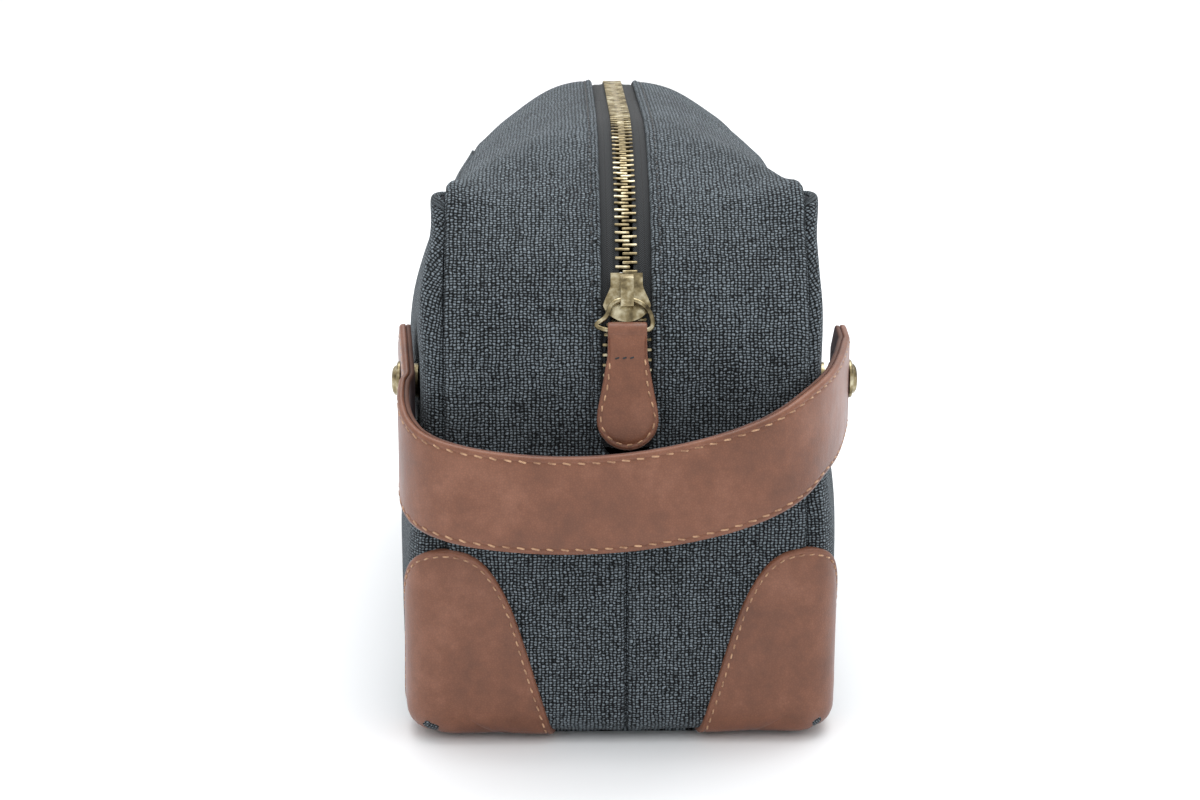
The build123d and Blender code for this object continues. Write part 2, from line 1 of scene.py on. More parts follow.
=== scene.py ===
# %% [markdown]
# # A canvas shaving kit bag
# The bag is a soft box of washed canvas that stands on its base. A brass zip runs over its top and down both
# ends, leather patches guard the lower corners, and a leather handle is riveted across one end. The CAD model
# gives the frame: every size and every moving part comes from it. This script puts the cloth, the leather and
# the thread in its place.

# %% Load the frame
import json
import math

import bmesh
import bpy
import numpy as np
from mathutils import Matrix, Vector


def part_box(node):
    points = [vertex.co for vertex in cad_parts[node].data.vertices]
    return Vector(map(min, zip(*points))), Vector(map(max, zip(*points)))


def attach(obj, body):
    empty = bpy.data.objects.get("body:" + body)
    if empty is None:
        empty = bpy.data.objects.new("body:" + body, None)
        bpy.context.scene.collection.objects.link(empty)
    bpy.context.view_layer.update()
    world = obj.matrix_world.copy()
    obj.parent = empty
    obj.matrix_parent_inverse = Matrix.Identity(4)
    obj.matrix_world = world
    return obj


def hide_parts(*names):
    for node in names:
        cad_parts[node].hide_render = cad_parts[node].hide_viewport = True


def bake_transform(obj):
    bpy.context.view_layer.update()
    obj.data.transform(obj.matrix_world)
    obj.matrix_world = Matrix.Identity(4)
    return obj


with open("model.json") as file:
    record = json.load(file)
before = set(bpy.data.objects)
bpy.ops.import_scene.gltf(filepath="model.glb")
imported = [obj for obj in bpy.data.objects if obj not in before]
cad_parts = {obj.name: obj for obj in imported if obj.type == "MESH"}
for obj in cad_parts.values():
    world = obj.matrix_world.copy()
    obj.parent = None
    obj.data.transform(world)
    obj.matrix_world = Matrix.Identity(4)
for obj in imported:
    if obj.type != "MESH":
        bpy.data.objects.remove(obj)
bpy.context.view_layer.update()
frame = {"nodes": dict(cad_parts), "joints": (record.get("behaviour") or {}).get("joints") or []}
MM = 0.001


def box_mm(node):
    """The lowest and highest corner of a CAD node, in millimetres."""
    low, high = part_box(node)
    return np.array(low) / MM, np.array(high) / MM


FRONT = box_mm("left_front_end_panel")[0][1]
BACK = box_mm("left_back_end_panel")[1][1]
TOP = box_mm("left_top_panel")[1][2]
MIDDLE = (FRONT + BACK) / 2
HALF = (BACK - FRONT) / 2
print("front", round(FRONT, 1), "back", round(BACK, 1), "top", round(TOP, 1))

# %% [markdown]
# ## Camera, floor and light
# The camera stands low in front of the handle end, looking slightly down, with a long lens as for a product
# view. A white floor, a bright even sky and one broad soft lamp almost overhead keep the shadows faint.

# %% Camera and studio
SCENE = bpy.context.scene
CAMERA_SIDE, CAMERA_AWAY, CAMERA_HEIGHT = -17.0, 575.0, 232.0
CAMERA_TILT, CAMERA_TURN = 13.5, -1.0
LENS = 69.48


def place_camera():
    """A camera a little to the left of the bag's middle."""
    data = bpy.data.cameras.new("camera")
    camera = bpy.data.objects.new("camera", data)
    SCENE.collection.objects.link(camera)
    data.sensor_width = 36.0
    data.lens = LENS
    camera.location = (CAMERA_SIDE * MM, (FRONT - CAMERA_AWAY) * MM, CAMERA_HEIGHT * MM)
    camera.rotation_euler = (math.radians(90 - CAMERA_TILT), 0, math.radians(CAMERA_TURN))
    SCENE.camera = camera


def soft_lamp(name, size, power, place, aim):
    """A square soft lamp that faces a point."""
    data = bpy.data.lights.new(name, "AREA")
    data.size, data.energy = size, power
    lamp = bpy.data.objects.new(name, data)
    SCENE.collection.objects.link(lamp)
    lamp.location = place
    lamp.rotation_euler = (Vector(aim) - Vector(place)).to_track_quat("-Z", "Y").to_euler()


place_camera()
soft_lamp("key_lamp", 1.8, 30.0, (0.15, 0.35, 1.8), (0, 0, 0.08))
world = bpy.data.worlds.new("studio")
SCENE.world = world
world.use_nodes = True
world.node_tree.nodes["Background"].inputs["Color"].default_value = (1, 1, 1, 1)
world.node_tree.nodes["Background"].inputs["Strength"].default_value = 1.05
SCENE.view_settings.view_transform = "Standard"

# %% [markdown]
# ## Materials
# Each material is built from nodes by one small helper. Colours are given as the hex values that a colour
# picker shows, and one function turns them to the linear numbers that a shader works in.


# %% Node helpers
def linear(code):
    """An sRGB hex colour as a linear RGBA tuple."""
    parts = [int(code[i : i + 2], 16) / 255 for i in (1, 3, 5)]
    return tuple(c / 12.92 if c <= 0.04045 else ((c + 0.055) / 1.055) ** 2.4 for c in parts) + (1.0,)


def add(tree, kind, values=None, **settings):
    """Adds a node, sets its settings, and links or sets its inputs by name or number."""
    made = tree.nodes.new(kind)
    for key, value in settings.items():
        setattr(made, key, value)
    for key, value in (values or {}).items():
        if isinstance(value, bpy.types.NodeSocket):
            tree.links.new(value, made.inputs[key])
        else:
            made.inputs[key].default_value = value
    return made


def new_material(name, **values):
    """A material with a Principled shader whose sockets are set by name."""
    material = bpy.data.materials.new(name)
    material.use_nodes = True
    shader = material.node_tree.nodes["Principled BSDF"]
    for key, value in values.items():
        shader.inputs[key.replace("_", " ")].default_value = value
    return material, material.node_tree, shader


def math_node(tree, operation, a, b=0.0, c=0.0, clamp=False):
    """One sum, and its output."""
    return add(tree, "ShaderNodeMath", {0: a, 1: b, 2: c}, operation=operation, use_clamp=clamp).outputs[0]


def ramp(tree, value, stops):
    """Colours or greys along a value; stops are (place, colour)."""
    made = add(tree, "ShaderNodeValToRGB", {"Fac": value})
    elements = made.color_ramp.elements
    while len(elements) < len(stops):
        elements.new(0.5)
    for element, (place, colour) in zip(elements, stops):
        element.position = place
        element.color = colour if len(colour) == 4 else (*colour, 1.0)
    return made.outputs["Color"]


def grey(level):
    return (level, level, level, 1.0)


def noise(tree, vector, scale, detail=3.0, roughness=0.55):
    """Soft noise with a value of about 0.5."""
    made = add(
        tree, "ShaderNodeTexNoise", {"Vector": vector, "Scale": scale, "Detail": detail, "Roughness": roughness}
    )
    return made.outputs["Fac"]


def mix(tree, factor, a, b, blend_type="MIX"):
    made = add(tree, "ShaderNodeMix", data_type="RGBA", blend_type=blend_type)
    for socket, value in ((made.inputs[0], factor), (made.inputs[6], a), (made.inputs[7], b)):
        if isinstance(value, bpy.types.NodeSocket):
            tree.links.new(value, socket)
        else:
            socket.default_value = value
    return made.outputs[2]


def bump(tree, height, strength, distance, normal=None):
    values = {"Height": height, "Strength": strength, "Distance": distance}
    if normal is not None:
        values["Normal"] = normal
    return add(tree, "ShaderNodeBump", values).outputs["Normal"]


# %% [markdown]
# ### Washed canvas
# The canvas is a heavy plain weave, piece-dyed slate and then washed, so the crowns of its threads are rubbed
# pale; the hollows between them carry painted shade, near black. The pattern reads the cloth's own flat
# coordinates in millimetres: cos(x) times cos(y) is a chequerboard of crossings, and its two signs are the
# threads that run up and those that run across. Noise stretched along each thread makes some thicker and paler
# than others.


# %% Canvas
def woven_cloth(name, colours, pitch, fade, bump_mm, slub=0.35):
    """A plain weave on the map Cloth: colours from painted hollow shade to crown, thread pitch across and along,
    in mm.
    """
    material, tree, shader = new_material(name, Roughness=0.92, Sheen_Weight=0.3, Sheen_Roughness=0.35)
    shader.inputs["Specular IOR Level"].default_value = 0.25
    shader.inputs["Sheen Tint"].default_value = linear("#B4BEC6")
    cloth = add(tree, "ShaderNodeUVMap", uv_map="Cloth").outputs["UV"]
    wander = add(tree, "ShaderNodeTexNoise", {"Vector": cloth, "Scale": 0.16, "Detail": 2.0}).outputs["Color"]
    shift = add(tree, "ShaderNodeVectorMath", {0: wander, 1: (0.5, 0.5, 0.5)}, operation="SUBTRACT").outputs[0]
    drift = add(tree, "ShaderNodeVectorMath", {0: shift, "Scale": 1.3}, operation="SCALE").outputs[0]
    tug = add(tree, "ShaderNodeTexNoise", {"Vector": cloth, "Scale": 0.9, "Detail": 1.0}).outputs["Color"]
    tug = add(tree, "ShaderNodeVectorMath", {0: tug, 1: (0.5, 0.5, 0.5)}, operation="SUBTRACT").outputs[0]
    tug = add(tree, "ShaderNodeVectorMath", {0: tug, "Scale": 0.8 * pitch[0]}, operation="SCALE").outputs[0]
    drift = add(tree, "ShaderNodeVectorMath", {0: drift, 1: tug}, operation="ADD").outputs[0]
    place = add(tree, "ShaderNodeVectorMath", {0: cloth, 1: drift}, operation="ADD").outputs[0]
    split = add(tree, "ShaderNodeSeparateXYZ", {0: place})
    across = math_node(tree, "COSINE", math_node(tree, "MULTIPLY", split.outputs[0], math.pi / pitch[0]))
    along = math_node(tree, "COSINE", math_node(tree, "MULTIPLY", split.outputs[1], math.pi / pitch[1]))
    crossing = math_node(tree, "MULTIPLY", across, along)
    up = math_node(tree, "MAXIMUM", crossing, 0.0)
    over = math_node(tree, "MAXIMUM", math_node(tree, "MULTIPLY", crossing, -0.62), 0.0)
    crown = math_node(tree, "POWER", math_node(tree, "MAXIMUM", up, over), 0.7)
    long_map = add(tree, "ShaderNodeMapping", {"Vector": place, "Scale": (1.0 / pitch[0], 0.12, 1.0)})
    wide_map = add(tree, "ShaderNodeMapping", {"Vector": place, "Scale": (0.1, 1.0 / pitch[1], 1.0)})
    thread_up = noise(tree, long_map.outputs[0], 0.9, 1.0)
    thread_over = noise(tree, wide_map.outputs[0], 0.9, 1.0)
    each = noise(tree, place, 0.75, 2.0, 0.7)
    clouds = noise(tree, place, 0.035, 3.0, 0.6)
    uneven_up = math_node(tree, "MULTIPLY", thread_up, slub)
    uneven_over = math_node(tree, "MULTIPLY", thread_over, slub)
    varied = math_node(tree, "ADD", uneven_up, uneven_over)
    varied = math_node(tree, "ADD", varied, math_node(tree, "MULTIPLY", each, 1.15 - slub))
    varied = math_node(tree, "MULTIPLY_ADD", varied, 1.9, -0.5, True)
    level = math_node(tree, "MULTIPLY", crown, varied)
    # Clouds of uneven washing plus the weave: where the crowns fall away, the colour drops to painted shade of the
    # hollows.
    wash_and_hollow_shade = math_node(tree, "MULTIPLY_ADD", clouds, fade, math_node(tree, "SUBTRACT", level, fade / 2))
    # The first, near-black stop is painted shade in the hollows between threads; the last is the washed-pale
    # crowns.
    stops = [(0.02, linear(colours[0])), (0.3, linear(colours[1])), (0.8, linear(colours[2]))]
    colour = ramp(tree, wash_and_hollow_shade, stops)
    tree.links.new(colour, shader.inputs["Base Color"])
    height = math_node(tree, "MULTIPLY", crown, math_node(tree, "ADD", varied, 0.4))
    normal = bump(tree, height, 0.9, bump_mm * MM)
    tree.links.new(normal, shader.inputs["Normal"])
    return material


CANVAS = woven_cloth("washed_canvas", ("#020304", "#0D1114", "#7C868D"), (1.0, 0.76), 0.3, 0.3)
LINING = woven_cloth("cotton_lining", ("#1B1C20", "#2C2D33", "#45464E"), (0.5, 0.5), 0.1, 0.1)
print("canvas threads every 1.05 mm across and 0.76 mm along")

# %% [markdown]
# ### Zip tape
# The tape is black polyester, woven as a fine herringbone: the slant of the twill turns every few millimetres.
# A zigzag of the coordinate across the tape, added to the one along it, gives those turning slants.


# %% Tape
def herringbone_tape():
    material, tree, shader = new_material("polyester_tape", Roughness=0.75)
    cloth = add(tree, "ShaderNodeUVMap", uv_map="Cloth").outputs["UV"]
    split = add(tree, "ShaderNodeSeparateXYZ", {0: cloth})
    zigzag = math_node(tree, "PINGPONG", split.outputs[0], 1.6)
    slant = math_node(tree, "ADD", split.outputs[1], zigzag)
    wave = math_node(tree, "SINE", math_node(tree, "MULTIPLY", slant, 2 * math.pi / 0.62))
    slope = math_node(tree, "ABSOLUTE", math_node(tree, "SUBTRACT", zigzag, 0.8))
    turns = math_node(tree, "LESS_THAN", slope, 0.72)
    level = math_node(tree, "MULTIPLY", math_node(tree, "MULTIPLY_ADD", wave, 0.5, 0.5), turns)
    colour = ramp(tree, level, [(0.2, linear("#050607")), (0.95, linear("#2B3034"))])
    tree.links.new(colour, shader.inputs["Base Color"])
    tree.links.new(bump(tree, level, 0.8, 0.15 * MM), shader.inputs["Normal"])
    return material


TAPE = herringbone_tape()

# %% [markdown]
# ### Pull-up leather
# The leather is full-grain cowhide, drum dyed and waxed. Wax gives it a soft sheen, lets the colour shift in
# clouds where it has been bent, and leaves fine short creases. Its cut edges are dyed darker, which is not drawn
# here.


# %% Leather
def waxed_leather(name, dark, middle, pale, roughness=0.42):
    material, tree, shader = new_material(name, Roughness=roughness, Sheen_Weight=0.18, Sheen_Roughness=0.35)
    shader.inputs["Specular IOR Level"].default_value = 0.5
    shader.inputs["Sheen Tint"].default_value = linear("#D9D2DE")
    place = add(tree, "ShaderNodeTexCoord").outputs["Object"]
    clouds = noise(tree, place, 38.0, 5.0, 0.62)
    mottle = noise(tree, place, 210.0, 4.0, 0.7)
    broad = math_node(tree, "MULTIPLY", clouds, 0.68)
    fine = math_node(tree, "MULTIPLY", mottle, 0.32)
    level = math_node(tree, "ADD", broad, fine)
    colour = ramp(tree, level, [(0.32, linear(dark)), (0.5, linear(middle)), (0.68, linear(pale))])
    grain = add(tree, "ShaderNodeTexVoronoi", {"Vector": place, "Scale": 1500.0}, feature="DISTANCE_TO_EDGE")
    pores = ramp(tree, grain.outputs["Distance"], [(0.0, grey(0.0)), (0.25, grey(1.0))])
    stretched = add(tree, "ShaderNodeMapping", {"Vector": place, "Scale": (1.0, 1.0, 0.35)}).outputs[0]
    creases = noise(tree, stretched, 420.0, 4.0, 0.6)
    fine = noise(tree, place, 2600.0, 2.0)
    darker = mix(tree, 0.18, colour, pores, "MULTIPLY")
    tree.links.new(darker, shader.inputs["Base Color"])
    rough = math_node(tree, "MULTIPLY_ADD", mottle, 0.35, roughness - 0.16)
    tree.links.new(rough, shader.inputs["Roughness"])
    normal = bump(tree, creases, 0.32, 0.25 * MM)
    normal = bump(tree, pores, 0.16, 0.1 * MM, normal)
    normal = bump(tree, fine, 0.12, 0.08 * MM, normal)
    tree.links.new(normal, shader.inputs["Normal"])
    return material


LEATHER = waxed_leather("pull_up_cowhide", "#5F3723", "#794A33", "#90604A")
LEATHER_BACK = waxed_leather("cowhide_lining", "#4A2C1E", "#5F3A29", "#744B38", 0.6)
print("leather pores about", round(1000 / 1500, 2), "mm across")

# %% [markdown]
# ### Antique brass, thread and board
# The zip, ring and rivets are zinc and brass with an antique finish: a dark patina in the hollows, rubbed bright
# on the high places. Thread is waxed polyester, tan on the leather and near black on the canvas.


# %% Brass and thread
def antique_brass(name="antique_brass", roughness=0.3):
    material, tree, shader = new_material(name, Metallic=1.0, Roughness=roughness)
    place = add(tree, "ShaderNodeTexCoord").outputs["Object"]
    patina = noise(tree, place, 260.0, 4.0, 0.6)
    stops = [(0.3, linear("#40382A")), (0.5, linear("#8E8162")), (0.7, linear("#D2CAAE"))]
    colour = ramp(tree, patina, stops)
    tree.links.new(colour, shader.inputs["Base Color"])
    rough = math_node(tree, "MULTIPLY_ADD", noise(tree, place, 900.0, 3.0), 0.3, roughness - 0.12)
    tree.links.new(rough, shader.inputs["Roughness"])
    tree.links.new(bump(tree, noise(tree, place, 1600.0, 2.0), 0.15, 0.08 * MM), shader.inputs["Normal"])
    return material


def waxed_thread(name, colour_a, colour_b):
    material, tree, shader = new_material(name, Roughness=0.65, Sheen_Weight=0.2)
    place = add(tree, "ShaderNodeTexCoord").outputs["Object"]
    level = noise(tree, place, 700.0, 3.0)
    colour = ramp(tree, level, [(0.35, linear(colour_a)), (0.65, linear(colour_b))])
    tree.links.new(colour, shader.inputs["Base Color"])
    strands = add(tree, "ShaderNodeTexWave", {"Vector": place, "Scale": 900.0, "Distortion": 2.0})
    tree.links.new(bump(tree, strands.outputs["Fac"], 0.4, 0.08 * MM), shader.inputs["Normal"])
    return material


def pressed_board():
    material, tree, shader = new_material("pressed_board", Roughness=0.85)
    place = add(tree, "ShaderNodeTexCoord").outputs["Object"]
    fibres = noise(tree, place, 300.0, 4.0, 0.7)
    colour = ramp(tree, fibres, [(0.3, linear("#18181A")), (0.7, linear("#2A2A2C"))])
    tree.links.new(colour, shader.inputs["Base Color"])
    return material


BRASS = antique_brass()
TAN_THREAD = waxed_thread("tan_thread", "#8A6247", "#C39A78")
DARK_THREAD = waxed_thread("charcoal_thread", "#0C0E10", "#23282D")
BOARD = pressed_board()

# %% [markdown]
# ## The shape of the stuffed bag
# A sewn bag has no sharp planes: the top, the sides and the ends run into each other. The three outlines of
# the pattern (from the side, from above and from the end) each give a depth below their own line, and a smooth
# minimum of the three is the depth below the skin of the bag. A point of cloth is then found by going inwards
# from an outline until that depth is nought.

# %% Outlines of the pattern, as depths in mm
END_FLAT, CORNER_X, CORNER_T = 44.0, 54.5, 12.0
SIDE_MIDDLE, SEAM_X, SHOULDER = 62.0, 47.0, 142.5
BEND_FOOT, BEND_R, BEND_ANGLE = 92.0, 60.0, math.radians(60)
TOP_R = (TOP - BEND_FOOT - BEND_R * math.sin(BEND_ANGLE)) / (1 - math.sin(BEND_ANGLE))
TOP_CENTRE = (
    BEND_R + (TOP_R - BEND_R) * math.cos(BEND_ANGLE),
    BEND_FOOT - (TOP_R - BEND_R) * math.sin(BEND_ANGLE),
)


def circle_through(a, b, c):
    """Centre and radius of the circle through three points."""
    a, b, c = (np.array(p, float) for p in (a, b, c))
    rows = np.array([b - a, c - a]) * 2
    right = np.array([b @ b - a @ a, c @ c - a @ a])
    centre = np.linalg.solve(rows, right)
    return centre, np.linalg.norm(a - centre)


BELLY = circle_through((60, 16), (62.5, 52), (60.5, 98))
LEAN = circle_through((60.5, 98), (55.35, 120.25), (SEAM_X, SHOULDER))
ARCH = circle_through((-SEAM_X, SHOULDER), (0, SHOULDER + 18.5), (SEAM_X, SHOULDER))
CORNER = circle_through((END_FLAT, 0), (51.455, 3.48), (CORNER_X, CORNER_T))
LONG_SIDE = circle_through((CORNER_X, CORNER_T - HALF), (SIDE_MIDDLE, 0), (CORNER_X, HALF - CORNER_T))


def inside(circle, u, v):
    return circle[1] - np.hypot(u - circle[0][0], v - circle[0][1])


def side_depth(t, z):
    """Depth below the outline seen from the side; t is the distance from the nearer end."""
    bend = BEND_R - np.hypot(BEND_R - t, z - BEND_FOOT)
    crown = np.where(t > TOP_CENTRE[0], TOP - z, TOP_R - np.hypot(TOP_CENTRE[0] - t, z - TOP_CENTRE[1]))
    upper = np.where((z - BEND_FOOT) > math.tan(BEND_ANGLE) * (BEND_R - t), crown, bend)
    lower = np.where((t < 10) & (z < 10), 10 - np.hypot(10 - t, 10 - z), np.minimum(t, z))
    return np.where(z > BEND_FOOT, upper, lower)


def end_depth(x, z):
    """Depth below the outline seen from the end."""
    x = np.abs(x)
    high = np.minimum(inside(ARCH, x, z), inside(LEAN, x, z))
    low = np.where(x > 44, 16 - np.hypot(x - 44, 16 - z), z)
    return np.where(z > 98, high, np.where(z > 16, np.minimum(inside(BELLY, x, z), z), low))


def plan_depth(x, t):
    """Depth below the outline seen from above."""
    x = np.abs(x)
    corner = np.where(x > END_FLAT, inside(CORNER, x, t), t)
    return np.where(t < CORNER_T, corner, np.minimum(inside(LONG_SIDE, x, HALF - t), t))


def smooth_least(a, b, reach):
    share = np.clip(reach - np.abs(a - b), 0, None) / reach
    return np.minimum(a, b) - share * share * reach / 4


def ease(value):
    """Nought below nought, one above one, and smooth between."""
    v = np.clip(value, 0, 1)
    return v * v * (3 - 2 * v)


def sag(x, y, z):
    """How far the top has sunk: not at the near corners, 5 mm along the seams, and more at the far end."""
    behind = y - FRONT
    most = 6.5 * ease((behind - 38) / 45) + 5.0 * ease((behind - 130) / 80)
    most = most * (1 + 0.2 * ease((-x - 10) / 25))
    return most * np.clip(np.abs(x) / 45, 0, 1.1) ** 1.3 * ease((z - 95) / 35)


def swell(x, y, z):
    """How far a side stands out of the pattern: the load pushes low on the left, the handle pulls the right in."""
    near = 1 - ease((y - FRONT - 45) / 70)
    foot = 1 - ease((z - 45) / 40)
    high = ease((z - 55) / 30) * (1 - ease((z - 122) / 16))
    left = near * 3.6 * foot + 1.6 * high * (1 - near)
    right = near * (0.8 * foot - 2.6 * high)
    press = 1.8 * np.exp(-(((y - FRONT - 34) / 20) ** 2) - ((z - 91) / 16) ** 2)
    return (np.where(x < 0, left, right) - press) * ease((np.abs(x) - 26) / 20)


def ear(x, y, z):
    """The cloth stands up at each top corner, and a soft ridge runs from there towards the zip."""
    t = HALF - np.abs(y - MIDDLE)
    corner = 3.6 * np.exp(-(((np.abs(x) - 47) / 7) ** 2) - ((t - 28) / 9) ** 2 - ((z - 143) / 8) ** 2)
    ridge = 1.1 * np.exp(-(((t - 27) / 7) ** 2) - ((z - 142) / 6) ** 2) * ease((np.abs(x) - 16) / 22)
    return (corner + ridge) * (1 - 0.6 * ease((y - MIDDLE) / 40))


def slack(x, y, z):
    """How far the cloth hangs in below the pattern, in soft folds and hollows."""
    fold = np.sin(x / 15.0 + 0.9 * np.sin(z / 31.0 + y / 57.0)) * np.sin(z / 24.0 + 0.4)
    ripple = np.sin(x / 7.3 + y / 19.0 + 1.1) * np.sin(z / 11.0 - y / 23.0)
    side = np.sin(y / 33.0 + 0.8) * np.sin(z / 37.0 + 0.3)
    return 0.45 + 0.35 * fold + 0.12 * ripple + 0.4 * side


def depth(x, y, z):
    """Depth below the skin of the bag."""
    t = HALF - np.abs(y - MIDDLE)
    wide = np.abs(x) - swell(x, y, z)
    found = smooth_least(end_depth(wide, z + sag(x, y, z)), side_depth(t, z), 4.5)
    return smooth_least(found, plan_depth(wide, t), 3.5) - slack(x, y, z) + ear(x, y, z)


def reach_skin(start, inward, deep=70.0):
    """Moves points inwards along their directions until they lie on the skin. Arrays of (..., 3)."""
    low = np.full(start.shape[:-1], -4.0)
    high = np.full(start.shape[:-1], deep)
    for _ in range(34):
        half = (low + high) / 2
        p = start + inward * half[..., None]
        out = depth(p[..., 0], p[..., 1], p[..., 2]) < 0
        low, high = np.where(out, half, low), np.where(out, high, half)
    return start + inward * high[..., None]


def outward_normal(p):
    """The direction out of the skin, from the slope of the depth."""
    step = 0.4
    slope = [
        depth(*(p[..., k] + step * (k == axis) for k in range(3)))
        - depth(*(p[..., k] - step * (k == axis) for k in range(3)))
        for axis in range(3)
    ]
    n = -np.stack(slope, -1)
    return n / np.maximum(np.linalg.norm(n, axis=-1, keepdims=True), 1e-9)


print("top arc radius", round(TOP_R, 1), "mm")

# %% [markdown]
# ## Cloth from grids
# A panel of cloth is a grid of points on the skin. One helper turns a grid into a mesh, writes its flat
# coordinates in millimetres to a map called Cloth for the weave, gives it a thickness inwards and rounds it
# with one subdivision.


# %% Grid helper
def finish_piece(obj, body=None, nodes=(), blend=None):
    """Gives a piece its body, or with a blend bakes it in place without one, and hides the CAD nodes it stands
    for.
    """
    if blend:
        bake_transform(obj)
    else:
        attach(obj, body)
    if nodes:
        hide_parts(*nodes)
    return obj


def mesh_object(name, points, faces, materials, flat=None):
    """An object from points in mm. flat is the Cloth coordinate of each point."""
    mesh = bpy.data.meshes.new(name)
    mesh.from_pydata((np.asarray(points) * MM).tolist(), [], faces)
    for material in materials:
        mesh.materials.append(material)
    if flat is not None:
        layer = mesh.uv_layers.new(name="Cloth")
        index = np.empty(len(mesh.loops), np.int32)
        mesh.loops.foreach_get("vertex_index", index)
        layer.data.foreach_set("uv", np.asarray(flat, np.float32)[index].ravel())
    obj = bpy.data.objects.new(name, mesh)
    SCENE.collection.objects.link(obj)
    for face in mesh.polygons:
        face.use_smooth = True
    return obj


def apply_modifiers(obj):
    """Applies every modifier, as by hand."""
    bpy.ops.object.select_all(action="DESELECT")
    obj.select_set(True)
    bpy.context.view_layer.objects.active = obj
    for modifier in list(obj.modifiers):
        bpy.ops.object.modifier_apply(modifier=modifier.name)
    obj.select_set(False)


def grid_faces(rows, columns, flip=False, wrap=False):
    """Faces of a grid of points; wrap joins the last column to the first."""
    faces = []
    for r in range(rows - 1):
        for c in range(columns if wrap else columns - 1):
            d = (c + 1) % columns
            face = (r * columns + c, r * columns + d, (r + 1) * columns + d, (r + 1) * columns + c)
            faces.append(face[::-1] if flip else face)
    return faces


def cloth_piece(name, grid, flat, material, thickness, flip, levels=1):
    """A panel from a grid (rows, columns, 3), with a thickness inwards."""
    rows, columns = grid.shape[:2]
    obj = mesh_object(name, grid.reshape(-1, 3), grid_faces(rows, columns, flip), [material], flat.reshape(-1, 2))
    wall = obj.modifiers.new("wall", "SOLIDIFY")
    wall.thickness, wall.offset = thickness * MM, -1.0
    if levels:
        smooth = obj.modifiers.new("smooth", "SUBSURF")
        smooth.levels = smooth.render_levels = levels
    apply_modifiers(obj)
    for face in obj.data.polygons:
        face.use_smooth = True
    return obj


# %% [markdown]
# ## The end-and-top strips
# On each side of the zip one strip of canvas runs up the end, over the top and down the far end. Its inner edge
# is folded under as a hem beside the zip; below the zip the two strips meet in an upright seam. The strip is
# made in a front and a back half, which meet in the middle of the top.


# %% Strip outline along the zip
def strip_line(step=3.0):
    """Points and inward directions along the side outline, from under the base to mid length: (t, z) pairs."""
    points, inward, run = [], [], []
    for a in np.linspace(math.pi / 2, 0, 6):
        points.append((10 - 10 * math.cos(a), 10 - 10 * math.sin(a)))
        inward.append((math.cos(a), math.sin(a)))
    for z in np.arange(10 + step, BEND_FOOT, step):
        points.append((0, z))
        inward.append((1, 0))
    for a in np.linspace(0, BEND_ANGLE, int(BEND_R * BEND_ANGLE / step))[:-1]:
        points.append((BEND_R - BEND_R * math.cos(a), BEND_FOOT + BEND_R * math.sin(a)))
        inward.append((math.cos(a), -math.sin(a)))
    for a in np.linspace(BEND_ANGLE, math.pi / 2, int(TOP_R * 0.52 / step)):
        points.append((TOP_CENTRE[0] - TOP_R * math.cos(a), TOP_CENTRE[1] + TOP_R * math.sin(a)))
        inward.append((math.cos(a), -math.sin(a)))
    for t in np.arange(TOP_CENTRE[0] + step, HALF - 0.5, step):
        points.append((t, TOP))
        inward.append((0, -1))
    points.append((HALF, TOP))
    inward.append((0, -1))
    points, inward = np.array(points), np.array(inward)
    run = np.concatenate([[0], np.cumsum(np.linalg.norm(np.diff(points, axis=0), axis=1))])
    return points, inward, run


LINE, LINE_IN, RUN = strip_line()
ZIP_LOW = 80.0
HEM_X = 6.4


def hem_profile(gap):
    """Extra depth at a distance from the folded edge: a round fold, a puffed hem and a stitched dip."""
    fold = np.where(gap < 0.9, 1.7 * (1 - np.sqrt(np.clip(1 - (1 - gap / 0.9) ** 2, 0, 1))), 0)
    puff = -0.35 * np.exp(-(((gap - 1.3) / 0.7) ** 2))
    dip = 0.4 * np.exp(-(((gap - 2.5) / 0.45) ** 2))
    return fold + puff + dip


def seam_profile(gap, run):
    """Extra depth at a distance from a sewn seam: the cloth turns in, and puckers a little beside it."""
    pucker = 0.08 * np.sin(run / 1.9) * np.exp(-gap / 4.0)
    return 1.1 * np.exp(-((gap / 0.7) ** 2)) - 0.3 * np.exp(-(((gap - 2.0) / 1.5) ** 2)) + pucker


def strip_grid(sign, end, deeper=0.0, hem_x=HEM_X):
    """The grid of one half strip. sign is -1 on the left, end is -1 at the front."""
    gaps = np.array([
        0, 0.15, 0.4, 0.8, 1.3, 1.9, 2.5, 3.1, 4.2, 6.0, 8.5, 11.5,
        15, 19, 23, 27, 31, 34.5, 37, 38.4, 39.3, 40.0, 40.3, 40.6,
    ])
    share = gaps / gaps[-1]
    low = np.clip((LINE[:, 1] - (ZIP_LOW - 4)) / 4.0, 0, 1)
    low = np.where(LINE[:, 0] > 20, 1.0, low)
    inner = hem_x * low
    x = inner[:, None] + share[None, :] * (SEAM_X - inner[:, None])
    from_hem = x - inner[:, None]
    from_seam = SEAM_X - x
    y = MIDDLE + end * (HALF - LINE[:, 0])
    across = np.broadcast_to(y[:, None], x.shape)
    upward = np.broadcast_to(LINE[:, 1][:, None], x.shape)
    start = np.stack([sign * x, across, upward], -1)
    inward = np.stack([np.zeros(len(LINE)), -end * LINE_IN[:, 0], LINE_IN[:, 1]], -1)
    inward = np.broadcast_to(inward[:, None, :], start.shape)
    skin = reach_skin(start, inward)
    hem = hem_profile(from_hem) * low[:, None] + (1 - low[:, None]) * seam_profile(from_hem, RUN[:, None])
    extra = hem + seam_profile(from_seam, RUN[:, None]) + deeper
    grid = skin + inward * extra[..., None]
    flat = np.stack([sign * x, np.broadcast_to(RUN[:, None], x.shape)], -1)
    return grid, flat


BLEND_START = {-1: FRONT + 31.0, 1: BACK - 31.0}


